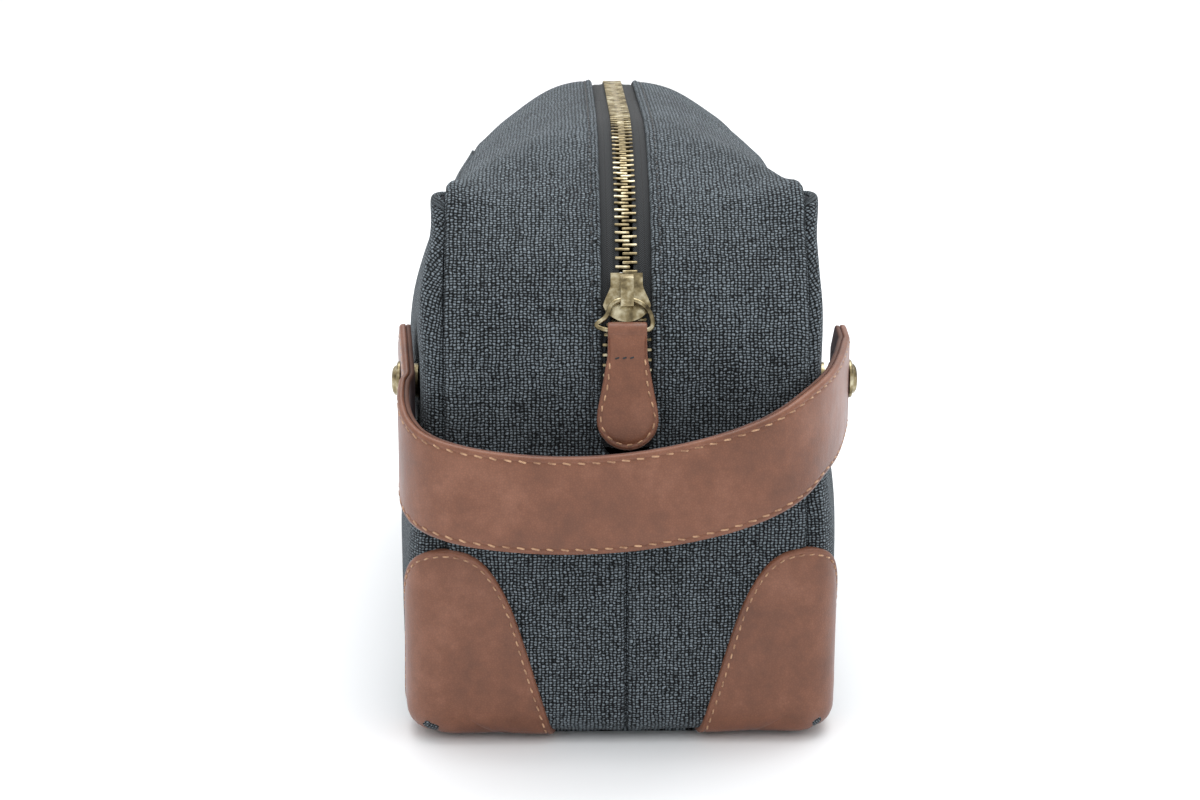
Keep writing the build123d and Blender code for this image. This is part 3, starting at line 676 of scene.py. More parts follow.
def mouth_blend(sign, end):
    """The two bodies that cloth over the mouth bends between, and where."""
    flap = "left_flap" if sign < 0 else "right_flap"
    return ("bag", flap, (0, BLEND_START[end] * MM, 0), (0, MIDDLE * MM, 0))


# %% Make the strips and their lining
for sign, side in ((-1, "left"), (1, "right")):
    for end, place in ((-1, "front"), (1, "back")):
        flip = sign * end > 0
        grid, flat = strip_grid(sign, end)
        strip = cloth_piece(f"{side}_{place}_strip", grid, flat, CANVAS, 1.4, flip)
        nodes = [f"{side}_{place}_end_panel", f"{side}_top_panel"]
        finish_piece(strip, nodes=nodes, blend=mouth_blend(sign, end))
        grid, flat = strip_grid(sign, end, deeper=2.3, hem_x=13.0)
        lining = cloth_piece(f"{side}_{place}_strip_lining", grid, flat, LINING, 0.5, flip, 0)
        finish_piece(lining, nodes=[f"{side}_top_lining"], blend=mouth_blend(sign, end))
print("strip length", round(2 * RUN[-1]), "mm, grid", grid.shape[:2])

# %% [markdown]
# ## The side panels
# Each long side is one panel, sewn to the strips along the upright corners and along the top. Its grid has rows
# down the outline seen from the end, and each row runs from seam to seam. The row ends are found where the skin
# crosses the seam line, so the panel and the strips share that line exactly.


# %% Side outline
def arc_points(circle, start, stop, count):
    """Points on a circle from start to stop, and the directions to its centre."""
    centre, radius = circle
    a0 = math.atan2(start[1] - centre[1], start[0] - centre[0])
    a1 = math.atan2(stop[1] - centre[1], stop[0] - centre[0])
    angles = np.linspace(a0, a1, count)
    points = centre + radius * np.stack([np.cos(angles), np.sin(angles)], -1)
    return points, (centre - points) / radius


def side_line():
    """Rows of the side panel from the top seam to the base, closer together at the seam."""
    lean, lean_in = arc_points(LEAN, (SEAM_X, SHOULDER), (60.5, 98), 60)
    belly, belly_in = arc_points(BELLY, (60.5, 98), (60, 16), 90)
    base, base_in = arc_points((np.array([44.0, 16.0]), 16.0), (60, 16), (SEAM_X, 0.28), 30)
    points = np.vstack([lean, belly[1:], base[1:]])
    inward = np.vstack([lean_in, belly_in[1:], base_in[1:]])
    run = np.concatenate([[0], np.cumsum(np.linalg.norm(np.diff(points, axis=0), axis=1))])
    top = [0, 0.3, 0.7, 1.3, 2.1, 3.2, 4.8, 7.0]
    foot = np.linspace(run[-1] - 19, run[-1], 10)
    wanted = np.concatenate([top, np.arange(10, run[-1] - 20, 3.2), foot])
    pick = [np.interp(wanted, run, column) for column in (*points.T, *inward.T)]
    inward = np.stack(pick[2:], -1)
    return np.stack(pick[:2], -1), inward / np.linalg.norm(inward, axis=1, keepdims=True), wanted


def side_grid(sign, deeper=0.0):
    line, inward, drop = side_line()
    rows = len(line)
    direction = np.stack([sign * inward[:, 0], np.zeros(rows), inward[:, 1]], -1)

    def sunk(y):
        """Heights of the row starts, lowered where the top has sunk."""
        z = np.broadcast_to(line[:, 1].reshape(-1, *[1] * (y.ndim - 1)), y.shape)
        x = np.broadcast_to(line[:, 0].reshape(-1, *[1] * (y.ndim - 1)), y.shape)
        low = z
        for _ in range(4):
            low = z - sag(x, y, low)
        return low

    def row_points(t, end):
        y = MIDDLE + end * (HALF - t)
        start = np.stack([sign * line[:, 0], y, sunk(y)], -1)
        return reach_skin(start, direction, 50.0)

    ends = {}
    for end in (-1, 1):
        low, high = np.full(rows, -1.0), np.full(rows, 70.0)
        for _ in range(26):
            half = (low + high) / 2
            short = sign * row_points(half, end)[:, 0] < SEAM_X
            low, high = np.where(short, half, low), np.where(short, high, half)
        ends[end] = high
    offsets = np.array([0, 0.3, 0.7, 1.3, 2.1, 3.2, 4.8, 7.0, 10, 13.5, 17, 21, 26])
    steps = np.linspace(0, 1, 34)[1:-1]
    columns, gaps = [], []
    for offset in offsets:
        columns.append(MIDDLE - (HALF - ends[-1] - offset))
        gaps.append(np.full(rows, offset))
    near = columns[-1]
    far = MIDDLE + (HALF - ends[1] - offsets[-1])
    for s in steps:
        columns.append(near + s * (far - near))
        gaps.append(np.full(rows, 30.0))
    for offset in offsets[::-1]:
        columns.append(MIDDLE + (HALF - ends[1] - offset))
        gaps.append(np.full(rows, offset))
    y = np.stack(columns, 1)
    gap = np.minimum(np.stack(gaps, 1), drop[:, None])
    start = np.stack([np.broadcast_to(sign * line[:, :1], y.shape), y, sunk(y)], -1)
    way = np.broadcast_to(direction[:, None, :], start.shape)
    skin = reach_skin(start, way, 50.0)
    grid = skin - outward_normal(skin) * (seam_profile(gap, y + drop[:, None]) + deeper)[..., None]
    steps = np.linalg.norm(np.diff(skin, axis=1), axis=2)
    run = np.concatenate([np.zeros((rows, 1)), np.cumsum(steps, axis=1)], axis=1)
    run -= run[:, len(columns) // 2, None]
    flat = np.stack([run, np.broadcast_to(-drop[:, None], y.shape)], -1)
    return grid, flat


# %% Make the side panels, the bottom and their lining
def bottom_grid(height):
    x = np.linspace(-SEAM_X - 0.2, SEAM_X + 0.2, 24)
    y = np.linspace(FRONT + 9.5, BACK - 9.5, 60)
    gx, gy = np.meshgrid(x, y)
    gz = np.full(gx.shape, height)
    return np.stack([gx, gy, gz], -1), np.stack([gx, gy], -1)


for sign, side in ((-1, "left"), (1, "right")):
    grid, flat = side_grid(sign)
    panel = cloth_piece(f"{side}_side_cloth", grid, flat, CANVAS, 1.4, sign > 0)
    finish_piece(panel, "bag", [f"{side}_side_panel"])
    grid, flat = side_grid(sign, deeper=2.3)
    lining = cloth_piece(f"{side}_side_lining", grid, flat, LINING, 0.5, sign > 0, 0)
    finish_piece(lining, "bag", ["lining"])
print("side panel grid", grid.shape[:2])
grid, flat = bottom_grid(0.15)
bottom = cloth_piece("bottom_cloth", grid, flat, CANVAS, 1.4, True, 0)
finish_piece(bottom, "bag", ["bottom_panel"])
grid, flat = bottom_grid(4.6)
base_lining = cloth_piece("base_lining", grid, flat, LINING, 0.4, False, 0)
finish_piece(base_lining, "bag", ["lining"])

# %% [markdown]
# ## Patches of leather
# A flat piece of leather with a rolled and stitched edge is easiest to make in rings: the outermost ring lies on
# the outline and each ring further in lies on a smaller copy of it. Height then depends only on how far a ring
# is from the edge, which gives the rolled rim, the stitched dip and the flat middle in one go.

# %% Ring helper
def outline_rings(outline, centre, rim):
    """Rings of 2-D points from an outline towards its centre, with a height each. Returns rings and heights."""
    rings, heights = [], []
    spokes = centre - outline
    length = np.linalg.norm(spokes, axis=1, keepdims=True)
    for gap, height in rim:
        rings.append(outline + spokes / length * np.minimum(gap, length * 0.8))
        heights.append(height)
    last = rings[-1]
    for share in (0.25, 0.5, 0.75, 0.93):
        rings.append(last + (centre - last) * share)
        heights.append(rim[-1][1])
    return np.array(rings), np.array(heights)


def ring_faces(rings, count, flip=False):
    """Faces between rings, and a fan to one middle point that follows them."""
    faces = grid_faces(rings, count, flip, wrap=True)
    middle = rings * count
    start = (rings - 1) * count
    for c in range(count):
        face = (start + c, start + (c + 1) % count, middle)
        faces.append(face[::-1] if flip else face)
    return faces


def even_outline(points, count):
    """The same closed outline with evenly spaced points."""
    loop = np.vstack([points, points[:1]])
    run = np.concatenate([[0], np.cumsum(np.linalg.norm(np.diff(loop, axis=0), axis=1))])
    wanted = np.linspace(0, run[-1], count, endpoint=False)
    return np.stack([np.interp(wanted, run, loop[:, k]) for k in (0, 1)], -1), run[-1]


# %% [markdown]
# ### Stitches
# Each stitch is a short stretch of thread that dives into the leather at both ends. It is modelled once, from a
# cylinder whose ends are drawn in and bent down, and set along the seams.


# %% Stitch helper
def model_stitch():
    """One stitch along X, one unit long, from a cylinder primitive."""
    bpy.ops.object.select_all(action="DESELECT")
    lying = (0, math.pi / 2, 0)
    bpy.ops.mesh.primitive_cylinder_add(vertices=6, radius=0.5, depth=1.0, end_fill_type="TRIFAN", rotation=lying)
    obj = bpy.context.object
    bpy.ops.object.transform_apply(location=True, rotation=True, scale=True)
    bpy.ops.object.mode_set(mode="EDIT")
    mesh = bmesh.from_edit_mesh(obj.data)
    for place in (-0.3, 0.3):
        whole = mesh.verts[:] + mesh.edges[:] + mesh.faces[:]
        bmesh.ops.bisect_plane(mesh, geom=whole, plane_co=(place, 0, 0), plane_no=(1, 0, 0))
    bmesh.update_edit_mesh(obj.data)
    bpy.ops.object.mode_set(mode="OBJECT")
    points = np.array([v.co[:] for v in obj.data.vertices])
    faces = [tuple(f.vertices) for f in obj.data.polygons]
    bpy.data.objects.remove(obj)
    tips = np.abs(points[:, 0]) > 0.4
    points[tips, 1:] *= 0.7
    return points, faces, tips


STITCH, STITCH_FACES, STITCH_TIPS = model_stitch()


def sew(name, places, along, up, length, width, material, slant=0.0, sink=0.35):
    """Stitches at places (n, 3), each along a direction with its back up. All in mm."""
    points, faces = [], []
    rng = np.random.default_rng(7)
    for i, (p, a, u) in enumerate(zip(places, along, up)):
        a = a / np.linalg.norm(a)
        u = u - (u @ a) * a
        u = u / np.linalg.norm(u)
        w = np.cross(u, a)
        turn = slant + rng.normal(0, 0.05)
        a2, w2 = a * math.cos(turn) + w * math.sin(turn), w * math.cos(turn) - a * math.sin(turn)
        long = length * (1 + rng.normal(0, 0.05))
        lift = np.where(STITCH_TIPS, -sink, 0.0) + STITCH[:, 2] * width
        made = p + STITCH[:, :1] * long * a2 + STITCH[:, 1:2] * width * w2 + lift[:, None] * u
        base = i * len(STITCH)
        points.append(made)
        faces += [tuple(base + v for v in face) for face in STITCH_FACES]
    obj = mesh_object(name, np.vstack(points), faces, [material])
    bpy.ops.object.select_all(action="DESELECT")
    obj.select_set(True)
    bpy.context.view_layer.objects.active = obj
    bpy.ops.object.mode_set(mode="EDIT")
    bpy.ops.mesh.select_all(action="SELECT")
    bpy.ops.mesh.normals_make_consistent(inside=False)
    bpy.ops.object.mode_set(mode="OBJECT")
    obj.select_set(False)
    return obj


def along_line(points, normals, pitch, skip=0.5):
    """Evenly spaced places on a line of points, with the directions along it and its normals."""
    run = np.concatenate([[0], np.cumsum(np.linalg.norm(np.diff(points, axis=0), axis=1))])
    wanted = np.arange(pitch * skip, run[-1] - pitch * 0.3, pitch)
    place = np.stack([np.interp(wanted, run, points[:, k]) for k in range(3)], -1)
    ahead = np.stack([np.interp(wanted + 0.3, run, points[:, k]) for k in range(3)], -1)
    behind = np.stack([np.interp(wanted - 0.3, run, points[:, k]) for k in range(3)], -1)
    normal = np.stack([np.interp(wanted, run, normals[:, k]) for k in range(3)], -1)
    return place, ahead - behind, normal


print("one stitch has", len(STITCH_FACES), "faces")

# %% [markdown]
# ### Corner patches
# A patch is cut as an arch. It wraps round the upright corner with half its width on the end of the bag and
# half on the side, and turns under the base. Its flat outline is laid on the skin by two distances: one
# round the corner and one up the wall.


# %% Corner patches
def corner_line():
    """The plan outline round one corner by distance: negative on the end, positive on the side."""
    flat = [(x, 0.0) for x in np.arange(0, END_FLAT, 2.0)]
    curve = arc_points(CORNER, (END_FLAT, 0), (CORNER_X, CORNER_T), 20)[0].tolist()
    ys = np.arange(CORNER_T + 2, 90, 2.0)
    side = [(LONG_SIDE[0][0] + math.sqrt(LONG_SIDE[1] ** 2 - (HALF - t) ** 2), t) for t in ys]
    points = np.array(flat + curve + side)
    run = np.concatenate([[0], np.cumsum(np.linalg.norm(np.diff(points, axis=0), axis=1))])
    middle = np.interp(47.5, points[:, 0][: len(flat) + 20], run[: len(flat) + 20])
    way = np.gradient(points, run, axis=0)
    way /= np.linalg.norm(way, axis=1, keepdims=True)
    return points, np.stack([-way[:, 1], way[:, 0]], -1), run - middle


def lay_on_corner(flat, lift, sign, end):
    """Flat points (round, up) in mm, laid on the skin of a corner and lifted off it."""
    points, inward, run = corner_line()
    x, t, nx, nt = (np.interp(flat[..., 0], run, column) for column in (*points.T, *inward.T))
    up = flat[..., 1]
    curl = np.clip((14.0 - up) / 22.0, 0, 1) * math.pi / 2
    level = np.maximum(up, 14.0)
    keep = 14.0
    sx, st = x + nx * keep, t + nt * keep
    dx, dt, dz = nx * np.cos(curl), nt * np.cos(curl), np.sin(curl)
    back = keep + 6
    y = MIDDLE + end * (HALF - (st - dt * back))
    start = np.stack([sign * (sx - dx * back), y, level - dz * back], -1)
    way = np.stack([sign * dx, -end * dt, dz], -1)
    skin = reach_skin(start, way, 60.0)
    normal = outward_normal(skin)
    return skin + normal * lift[..., None], normal


def patch_outline():
    """The bullet shape of a patch: a round top, and sides that spread to the base and turn under it."""
    up = np.array([54.0, 53.7, 52.9, 51.5, 49.3, 46.0, 42.0, 37.0, 31.0, 24.0, 16.0, 5.0, 0.0, -PATCH_FOOT])
    wide = np.array([0.0, 3.0, 6.0, 8.6, 11.0, 13.4, 15.6, 17.8, 19.8, 21.9, 24.2, 27.4, 28.6, 31.0])
    turned = np.stack([wide, up], -1)[::-1]
    left = turned[::-1] * np.array([-1, 1])
    turned = turned * np.array([SIDE_SHARE, 1])
    foot_line = [(x, -PATCH_FOOT) for x in np.linspace(-31.0, 31.0 * SIDE_SHARE, 20)[1:-1]]
    return np.vstack([foot_line, turned, left[1:]])


PATCH_RIM = (
    (0.0, -0.7), (0.0, 0.35), (0.25, 0.95), (0.7, 1.25), (1.2, 1.2),
    (1.7, 0.85), (2.3, 1.0), (3.2, 1.15), (7.0, 1.2),
)
PATCH_FOOT, SIDE_SHARE = 13.0, 0.8


def corner_patch(name, sign, end, node):
    outline, around = even_outline(patch_outline(), 190)
    rings, heights = outline_rings(outline, np.array([0.0, 12.0]), PATCH_RIM)
    count = rings.shape[1]
    lift = np.broadcast_to(heights[:, None], rings.shape[:2])
    laid, _ = lay_on_corner(rings, lift, sign, end)
    middle, _ = lay_on_corner(np.array([[0.0, 12.0]]), np.array([heights[-1]]), sign, end)
    points = np.vstack([laid.reshape(-1, 3), middle])
    faces = ring_faces(len(rings), count, flip=sign * end > 0)
    obj = mesh_object(name, points, faces, [LEATHER])
    smooth = obj.modifiers.new("smooth", "SUBSURF")
    smooth.levels = smooth.render_levels = 1
    apply_modifiers(obj)
    finish_piece(obj, "bag", [node])
    spokes = np.array([0.0, 12.0]) - outline
    line = outline + spokes / np.linalg.norm(spokes, axis=1, keepdims=True) * 1.7
    keep = line[:, 1] > 1.0
    start = int(np.argmax(keep))
    line = np.roll(line, -start, axis=0)[: int(keep.sum())]
    seam, normal = lay_on_corner(line, np.full(len(line), 1.0), sign, end)
    place, way, up = along_line(seam, normal, 2.7)
    thread = sew(name + "_stitches", place, way, up, 1.75, 0.5, TAN_THREAD, 0.12)
    finish_piece(thread, "bag")
    return len(place)


for sign, side in ((-1, "left"), (1, "right")):
    for end, place in ((-1, "front"), (1, "back")):
        count = corner_patch(f"{place}_{side}_corner", sign, end, f"{place}_{side}_patch")
print("stitches on a patch", count)

# %% [markdown]
# ## The zip
# The two tapes lie against the inside of the hems. The teeth are stamped brass, clamped on the edge of the
# tapes, and the rows interlock above the slider. Below the slider the rows part. Each row is made in a front
# and a back half.

# %% Zip line
CHAIN_DEPTH = 1.9
SLIDER_Y = (box_mm("slider_body")[0][1] + box_mm("slider_body")[1][1]) / 2
SLIDER_ANGLE = math.acos((FRONT + BEND_R - SLIDER_Y) / (BEND_R - CHAIN_DEPTH))
TOOTH_PITCH = 2.54
BEND_PATH = BEND_R - CHAIN_DEPTH
RISE = BEND_FOOT - 82.0
SLIDER_RUN = RISE + BEND_PATH * SLIDER_ANGLE


def zip_place(run, deep):
    """(t, z) and the outward direction at a length along the middle of the chain, from its low end."""
    run = np.asarray(run, float)
    angle = np.clip((run - RISE) / BEND_PATH, 0, BEND_ANGLE)
    top_r = TOP_R - CHAIN_DEPTH
    more = np.clip((run - RISE - BEND_PATH * BEND_ANGLE) / top_r, 0, math.pi / 2 - BEND_ANGLE)
    rest = np.clip(run - RISE - BEND_PATH * BEND_ANGLE - top_r * (math.pi / 2 - BEND_ANGLE), 0, None)
    turn = angle + more
    on_top = run > RISE + BEND_PATH * BEND_ANGLE
    centre_t = np.where(on_top, TOP_CENTRE[0], BEND_R)
    centre_z = np.where(on_top, TOP_CENTRE[1], BEND_FOOT)
    radius = np.where(on_top, TOP_R, BEND_R) - deep
    t = centre_t - radius * np.cos(turn) + rest
    z = centre_z + radius * np.sin(turn) - np.clip(RISE - run, 0, None)
    return t, z, -np.cos(turn), np.sin(turn)


def zip_end_run():
    top_r = TOP_R - CHAIN_DEPTH
    return RISE + BEND_PATH * BEND_ANGLE + top_r * (math.pi / 2 - BEND_ANGLE) + HALF - TOP_CENTRE[0]


ZIP_HALF = zip_end_run()


def row_apart(run):
    """How far a tooth row stands aside below the slider, at the front end only."""
    places = [4.0, SLIDER_RUN - 19.5, SLIDER_RUN - 11.5, SLIDER_RUN - 6.5, SLIDER_RUN - 1.0, SLIDER_RUN + 2.0]
    return np.interp(run, places, [1.2, 3.4, 3.4, 2.2, 1.32, 0.0])


def chain_points(run, across, up, sign, end):
    """Points beside and above the middle of the chain, in the row frame."""
    t, z, nt, nz = zip_place(run, CHAIN_DEPTH)
    return np.stack([sign * across, MIDDLE + end * (HALF - t - up * nt), z + up * nz], -1)


print("half zip", round(ZIP_HALF, 1), "mm; slider at", round(math.degrees(SLIDER_ANGLE), 1), "degrees on the bend")

# %% Tapes
def tape_grid(sign, end):
    run = np.concatenate([np.arange(-1.0, 75, 1.5), np.arange(75, ZIP_HALF, 3.0), [ZIP_HALF]])
    edge = np.array([0.0, 0.15, 0.45, 0.9, 1.3, 1.7, 2.6, 4.0, 5.5, 7.5, 9.5, 12.0])
    raised = np.array([0.0, 0.55, 0.8, 0.75, 0.4, 0.1, 0, 0, 0, 0, 0, 0])
    shift = row_apart(run) if end < 0 else np.zeros(len(run))
    across = 1.7 + edge[None, :] + shift[:, None] * np.exp(-((edge[None, :] / 5.0) ** 2))
    up = raised[None, :] - 0.05 - 0.55 * (edge[None, :] > 5)
    runs = np.broadcast_to(run[:, None], across.shape)
    grid = chain_points(runs, across, up, sign, end)
    return grid, np.stack([edge[None, :] + 0 * runs, runs], -1)


for sign, side in ((-1, "left"), (1, "right")):
    for end, place in ((-1, "front"), (1, "back")):
        grid, flat = tape_grid(sign, end)
        tape = cloth_piece(f"{side}_{place}_tape_half", grid, flat, TAPE, 0.5, sign * end > 0, 0)
        nodes = [f"{place}_{side}_tape", f"top_{side}_tape"]
        finish_piece(tape, nodes=nodes, blend=mouth_blend(sign, end))

# %% [markdown]
# ### Teeth
# A tooth has a leg that grips the tape and a rounded head that reaches past the middle. It starts as a cube,
# whose head end is drawn in and whose edges are bevelled, so that each tooth catches a thread of light.


# %% Teeth
def model_tooth():
    """One tooth of the right row, lying across the zip, in mm."""
    bpy.ops.object.select_all(action="DESELECT")
    bpy.ops.mesh.primitive_cube_add(size=1.0, location=(0.95, 0, 0))
    obj = bpy.context.object
    obj.scale = (3.9, 0.98, 2.4)
    bpy.ops.object.transform_apply(location=True, rotation=True, scale=True)
    for vertex in obj.data.vertices:
        if vertex.co.x < 0:
            vertex.co.y *= 0.9
            vertex.co.z *= 0.86
        else:
            vertex.co.y *= 0.82
    edges = obj.modifiers.new("edges", "BEVEL")
    edges.width, edges.segments, edges.limit_method = 0.28, 2, "NONE"
    apply_modifiers(obj)
    points = np.array([v.co[:] for v in obj.data.vertices])
    faces = [tuple(f.vertices) for f in obj.data.polygons]
    bpy.data.objects.remove(obj)
    return points, faces


TOOTH, TOOTH_FACES = model_tooth()


def tooth_row(name, sign, end):
    first = 4.0 + (TOOTH_PITCH / 2 if sign < 0 else 0.0)
    runs = np.arange(first, 2 * ZIP_HALF - 4.0, TOOTH_PITCH)
    runs = runs[runs <= ZIP_HALF] if end < 0 else 2 * ZIP_HALF - runs[runs > ZIP_HALF]
    points, faces = [], []
    for i, run in enumerate(runs):
        shift = float(row_apart(run)) if end < 0 else 0.0
        t, z, nt, nz = (float(v) for v in zip_place(run, CHAIN_DEPTH))
        centre = np.array([0, MIDDLE + end * (HALF - t), z])
        out = np.array([0, -end * nt, nz])
        along = np.array([0, -end * nz, -nt])
        across = np.array([sign, 0, 0])
        made = centre + (TOOTH[:, :1] + shift) * across + TOOTH[:, 1:2] * along + TOOTH[:, 2:] * out
        points.append(made)
        mirrored = np.linalg.det(np.array([across, along, out])) < 0
        faces += [tuple(i * len(TOOTH) + v for v in (f[::-1] if mirrored else f)) for f in TOOTH_FACES]
    obj = mesh_object(name, np.vstack(points), faces, [BRASS])
    bpy.ops.object.select_all(action="DESELECT")
    obj.select_set(True)
    bpy.context.view_layer.objects.active = obj
    bpy.ops.object.shade_smooth_by_angle(angle=math.radians(40))
    obj.select_set(False)
    return obj, len(runs)


for sign, side in ((-1, "left"), (1, "right")):
    for end, place in ((-1, "front"), (1, "back")):
        row, count = tooth_row(f"{side}_{place}_tooth_row", sign, end)
        nodes = [f"{place}_{side}_teeth", f"top_{side}_teeth"]
        finish_piece(row, nodes=nodes, blend=mouth_blend(sign, end))
print("a tooth has", len(TOOTH_FACES), "faces; the last row has", count, "teeth")

# %% [markdown]
# ### Topstitch of the hems
# A row of dark thread holds each hem down 2.5 mm from its fold.


# %% Hem stitches
def hem_stitches(sign, end):
    gap = 2.5
    rows = (LINE[:, 1] > 84) | (LINE[:, 0] > 20)
    line, inward = LINE[rows], LINE_IN[rows]
    y = MIDDLE + end * (HALF - line[:, 0])
    start = np.stack([np.full(len(line), sign * (HEM_X + gap)), y, line[:, 1]], -1)
    way = np.stack([np.zeros(len(line)), -end * inward[:, 0], inward[:, 1]], -1)
    points = reach_skin(start, way) + way * 0.15
    place, along, up = along_line(points, -way, 2.9)
    return place, along, up


for sign, side in ((-1, "left"), (1, "right")):
    for end, place in ((-1, "front"), (1, "back")):
        spots, along, up = hem_stitches(sign, end)
        thread = sew(f"{side}_{place}_hem_stitches", spots, along, up, 1.9, 0.42, DARK_THREAD, 0.0, 0.3)
        finish_piece(thread, blend=mouth_blend(sign, end))
print("hem stitches on one half", len(spots))

# %% [markdown]
# ## The handle
# The handle is a strap of two leathers sewn together: a thicker outer one whose edges are turned and burnished,
# and a thin lining. It is drawn as a line in space, from the tab on one side round the end of the bag to the
# other tab, and a cross-section is carried along it. The left side drops straight to the front, and the right
# side bows up a little, as a used handle does.

# %% Handle line
RIVET = (box_mm("right_rivet_cap")[0] + box_mm("right_rivet_cap")[1]) / 2
STRAP_BOX = box_mm("handle_outer")
STRAP_HALF = 12.7
STRAP_X = STRAP_BOX[1][0] - 3.2
STRAP_Y = STRAP_BOX[0][1] + 1.6
STRAP_LOW = 70.4
TAB = 15.0


def curve(a, b, c, d, count):
    """Points on a Bezier curve from a to d."""
    s = np.linspace(0, 1, count)[:, None]
    a, b, c, d = (np.array(p, float) for p in (a, b, c, d))
    return (1 - s) ** 3 * a + 3 * (1 - s) ** 2 * s * b + 3 * (1 - s) * s**2 * c + s**3 * d


def strap_line():
    """The middle of the strap, left tab to right tab, evenly spaced, and the length to each point."""
    rear, pivot = RIVET[1] + TAB, RIVET[1]
    pinch = (-STRAP_X + 2.2, STRAP_Y + 34)
    left = curve(pinch, (-STRAP_X - 1.0, STRAP_Y + 10), (-STRAP_X + 8, STRAP_Y), (-STRAP_X + 23, STRAP_Y), 30)
    right = curve((20, STRAP_Y), (48, STRAP_Y), (STRAP_X - 5.5, STRAP_Y + 20), (STRAP_X, pivot - 2), 34)
    plan = np.vstack([[(-STRAP_X - 1.0, rear)], left, right, [(STRAP_X, rear)]])
    run = np.concatenate([[0], np.cumsum(np.linalg.norm(np.diff(plan, axis=0), axis=1))])
    even = np.linspace(0, run[-1], 190)
    plan = np.stack([np.interp(even, run, plan[:, k]) for k in (0, 1)], -1)
    hang = STRAP_LOW + 0.0036 * (np.clip(plan[:, 0], -50, 48) + 15) ** 2
    share = np.clip((plan[:, 1] - STRAP_Y - 5) / (pivot - STRAP_Y - 5), 0, 2)
    z = hang * (1 - share) + RIVET[2] * share
    kernel = np.hanning(17)
    padded = np.pad(z, 8, mode="reflect", reflect_type="odd")
    z = np.convolve(padded, kernel / kernel.sum(), mode="valid")
    return np.column_stack([plan, z]), even


STRAP, STRAP_RUN = strap_line()
STRAP_LENGTH = STRAP_RUN[-1]


def strap_frame():
    """Directions along, across (up) and out of the strap."""
    along = np.gradient(STRAP, STRAP_RUN, axis=0)
    along /= np.linalg.norm(along, axis=1, keepdims=True)
    level = along * [1, 1, 0]
    level /= np.linalg.norm(level, axis=1, keepdims=True)
    out = np.stack([level[:, 1], -level[:, 0], np.zeros(len(level))], -1)
    out *= np.sign(np.sum(out * (STRAP - np.array([0, RIVET[1], 0])), axis=1, keepdims=True))
    up = np.cross(out, along)
    up *= np.sign(up[:, 2:3])
    return along, up, out


_, STRAP_UP, STRAP_OUT = strap_frame()


def strap_width(run):
    """Half width along the strap: house-shaped tabs at both ends."""
    end = np.minimum(run, STRAP_LENGTH - run)
    return np.interp(end, [0.0, 0.8, 6.5, 8.0], [4.6, 5.6, 12.4, STRAP_HALF])


def strap_points(width, out):
    """Points at distances across and out of the strap's middle; width is a share of the half width."""
    half = strap_width(STRAP_RUN)[:, None]
    from_edge = STRAP_HALF * (1 - np.abs(width))
    across = np.where(np.abs(width) > 0.5, np.sign(width) * (half - from_edge), width * half)
    across = np.clip(across, -half, half)
    return (
        STRAP[:, None]
        + across[..., None] * STRAP_UP[:, None]
        + (np.asarray(out)[None, :] + 0 * across)[..., None] * STRAP_OUT[:, None]
    )


# %% Strap layers
OUTER_PROFILE = (
    (-0.975, -0.2), (-1.0, 0.1), (-1.0, 0.75), (-0.985, 1.2), (-0.95, 1.5), (-0.91, 1.56), (-0.885, 1.36),
    (-0.86, 1.5), (-0.8, 1.6), (-0.45, 1.66), (0.0, 1.68), (0.45, 1.66), (0.8, 1.6), (0.86, 1.5), (0.885, 1.36),
    (0.91, 1.56), (0.95, 1.5), (0.985, 1.2), (1.0, 0.75), (1.0, 0.1), (0.975, -0.2),
)
INNER_PROFILE = (
    (-0.955, -0.22), (-0.985, -0.5), (-0.985, -1.2), (-0.96, -1.5), (-0.9, -1.6), (-0.4, -1.62), (0.4, -1.62),
    (0.9, -1.6), (0.96, -1.5), (0.985, -1.2), (0.985, -0.5), (0.955, -0.22),
)


def strap_layer(name, profile, material, node):
    """Carries a closed cross-section along the strap and closes both ends."""
    across = np.array([p[0] for p in profile])
    out = np.array([p[1] for p in profile])
    grid = strap_points(across[None, :], out)
    rows, columns = grid.shape[:2]
    points = grid.reshape(-1, 3)
    faces = grid_faces(rows, columns, wrap=True)
    faces.append(tuple(range(columns))[::-1])
    faces.append(tuple((rows - 1) * columns + c for c in range(columns)))
    obj = mesh_object(name, points, faces, [material])
    bpy.ops.object.select_all(action="DESELECT")
    obj.select_set(True)
    bpy.context.view_layer.objects.active = obj
    bpy.ops.object.mode_set(mode="EDIT")
    bpy.ops.mesh.select_all(action="SELECT")
    bpy.ops.mesh.normals_make_consistent(inside=False)
    bpy.ops.object.mode_set(mode="OBJECT")
    bpy.ops.object.shade_smooth_by_angle(angle=math.radians(50))
    obj.select_set(False)
    finish_piece(obj, "handle", [node])


strap_layer("handle_strap", OUTER_PROFILE, LEATHER, "handle_outer")
strap_layer("handle_strap_lining", INNER_PROFILE, LEATHER_BACK, "handle_lining")
STITCH_SHARE = 0.885
keep = (STRAP_RUN > 9) & (STRAP_RUN < STRAP_LENGTH - 9)
for name, share in (("upper", STITCH_SHARE), ("lower", -STITCH_SHARE)):
    line = strap_points(np.array([[share]]), [1.42])[keep, 0]
    place, way, up = along_line(line, STRAP_OUT[keep], 3.7)
    thread = sew(f"handle_{name}_stitches", place, way, up, 2.5, 0.62, TAN_THREAD, -0.2, 0.4)
    finish_piece(thread, "handle")
print("strap length", round(STRAP_LENGTH), "mm, stitches a side", len(place))

# %% [markdown]
# ### Rivets
# Each rivet cap is turned brass: a shallow dome with a raised rim and a wide flange under it. Its profile is
# spun round the rivet axis. A small washer sits between the strap and the canvas, spun in the same way.


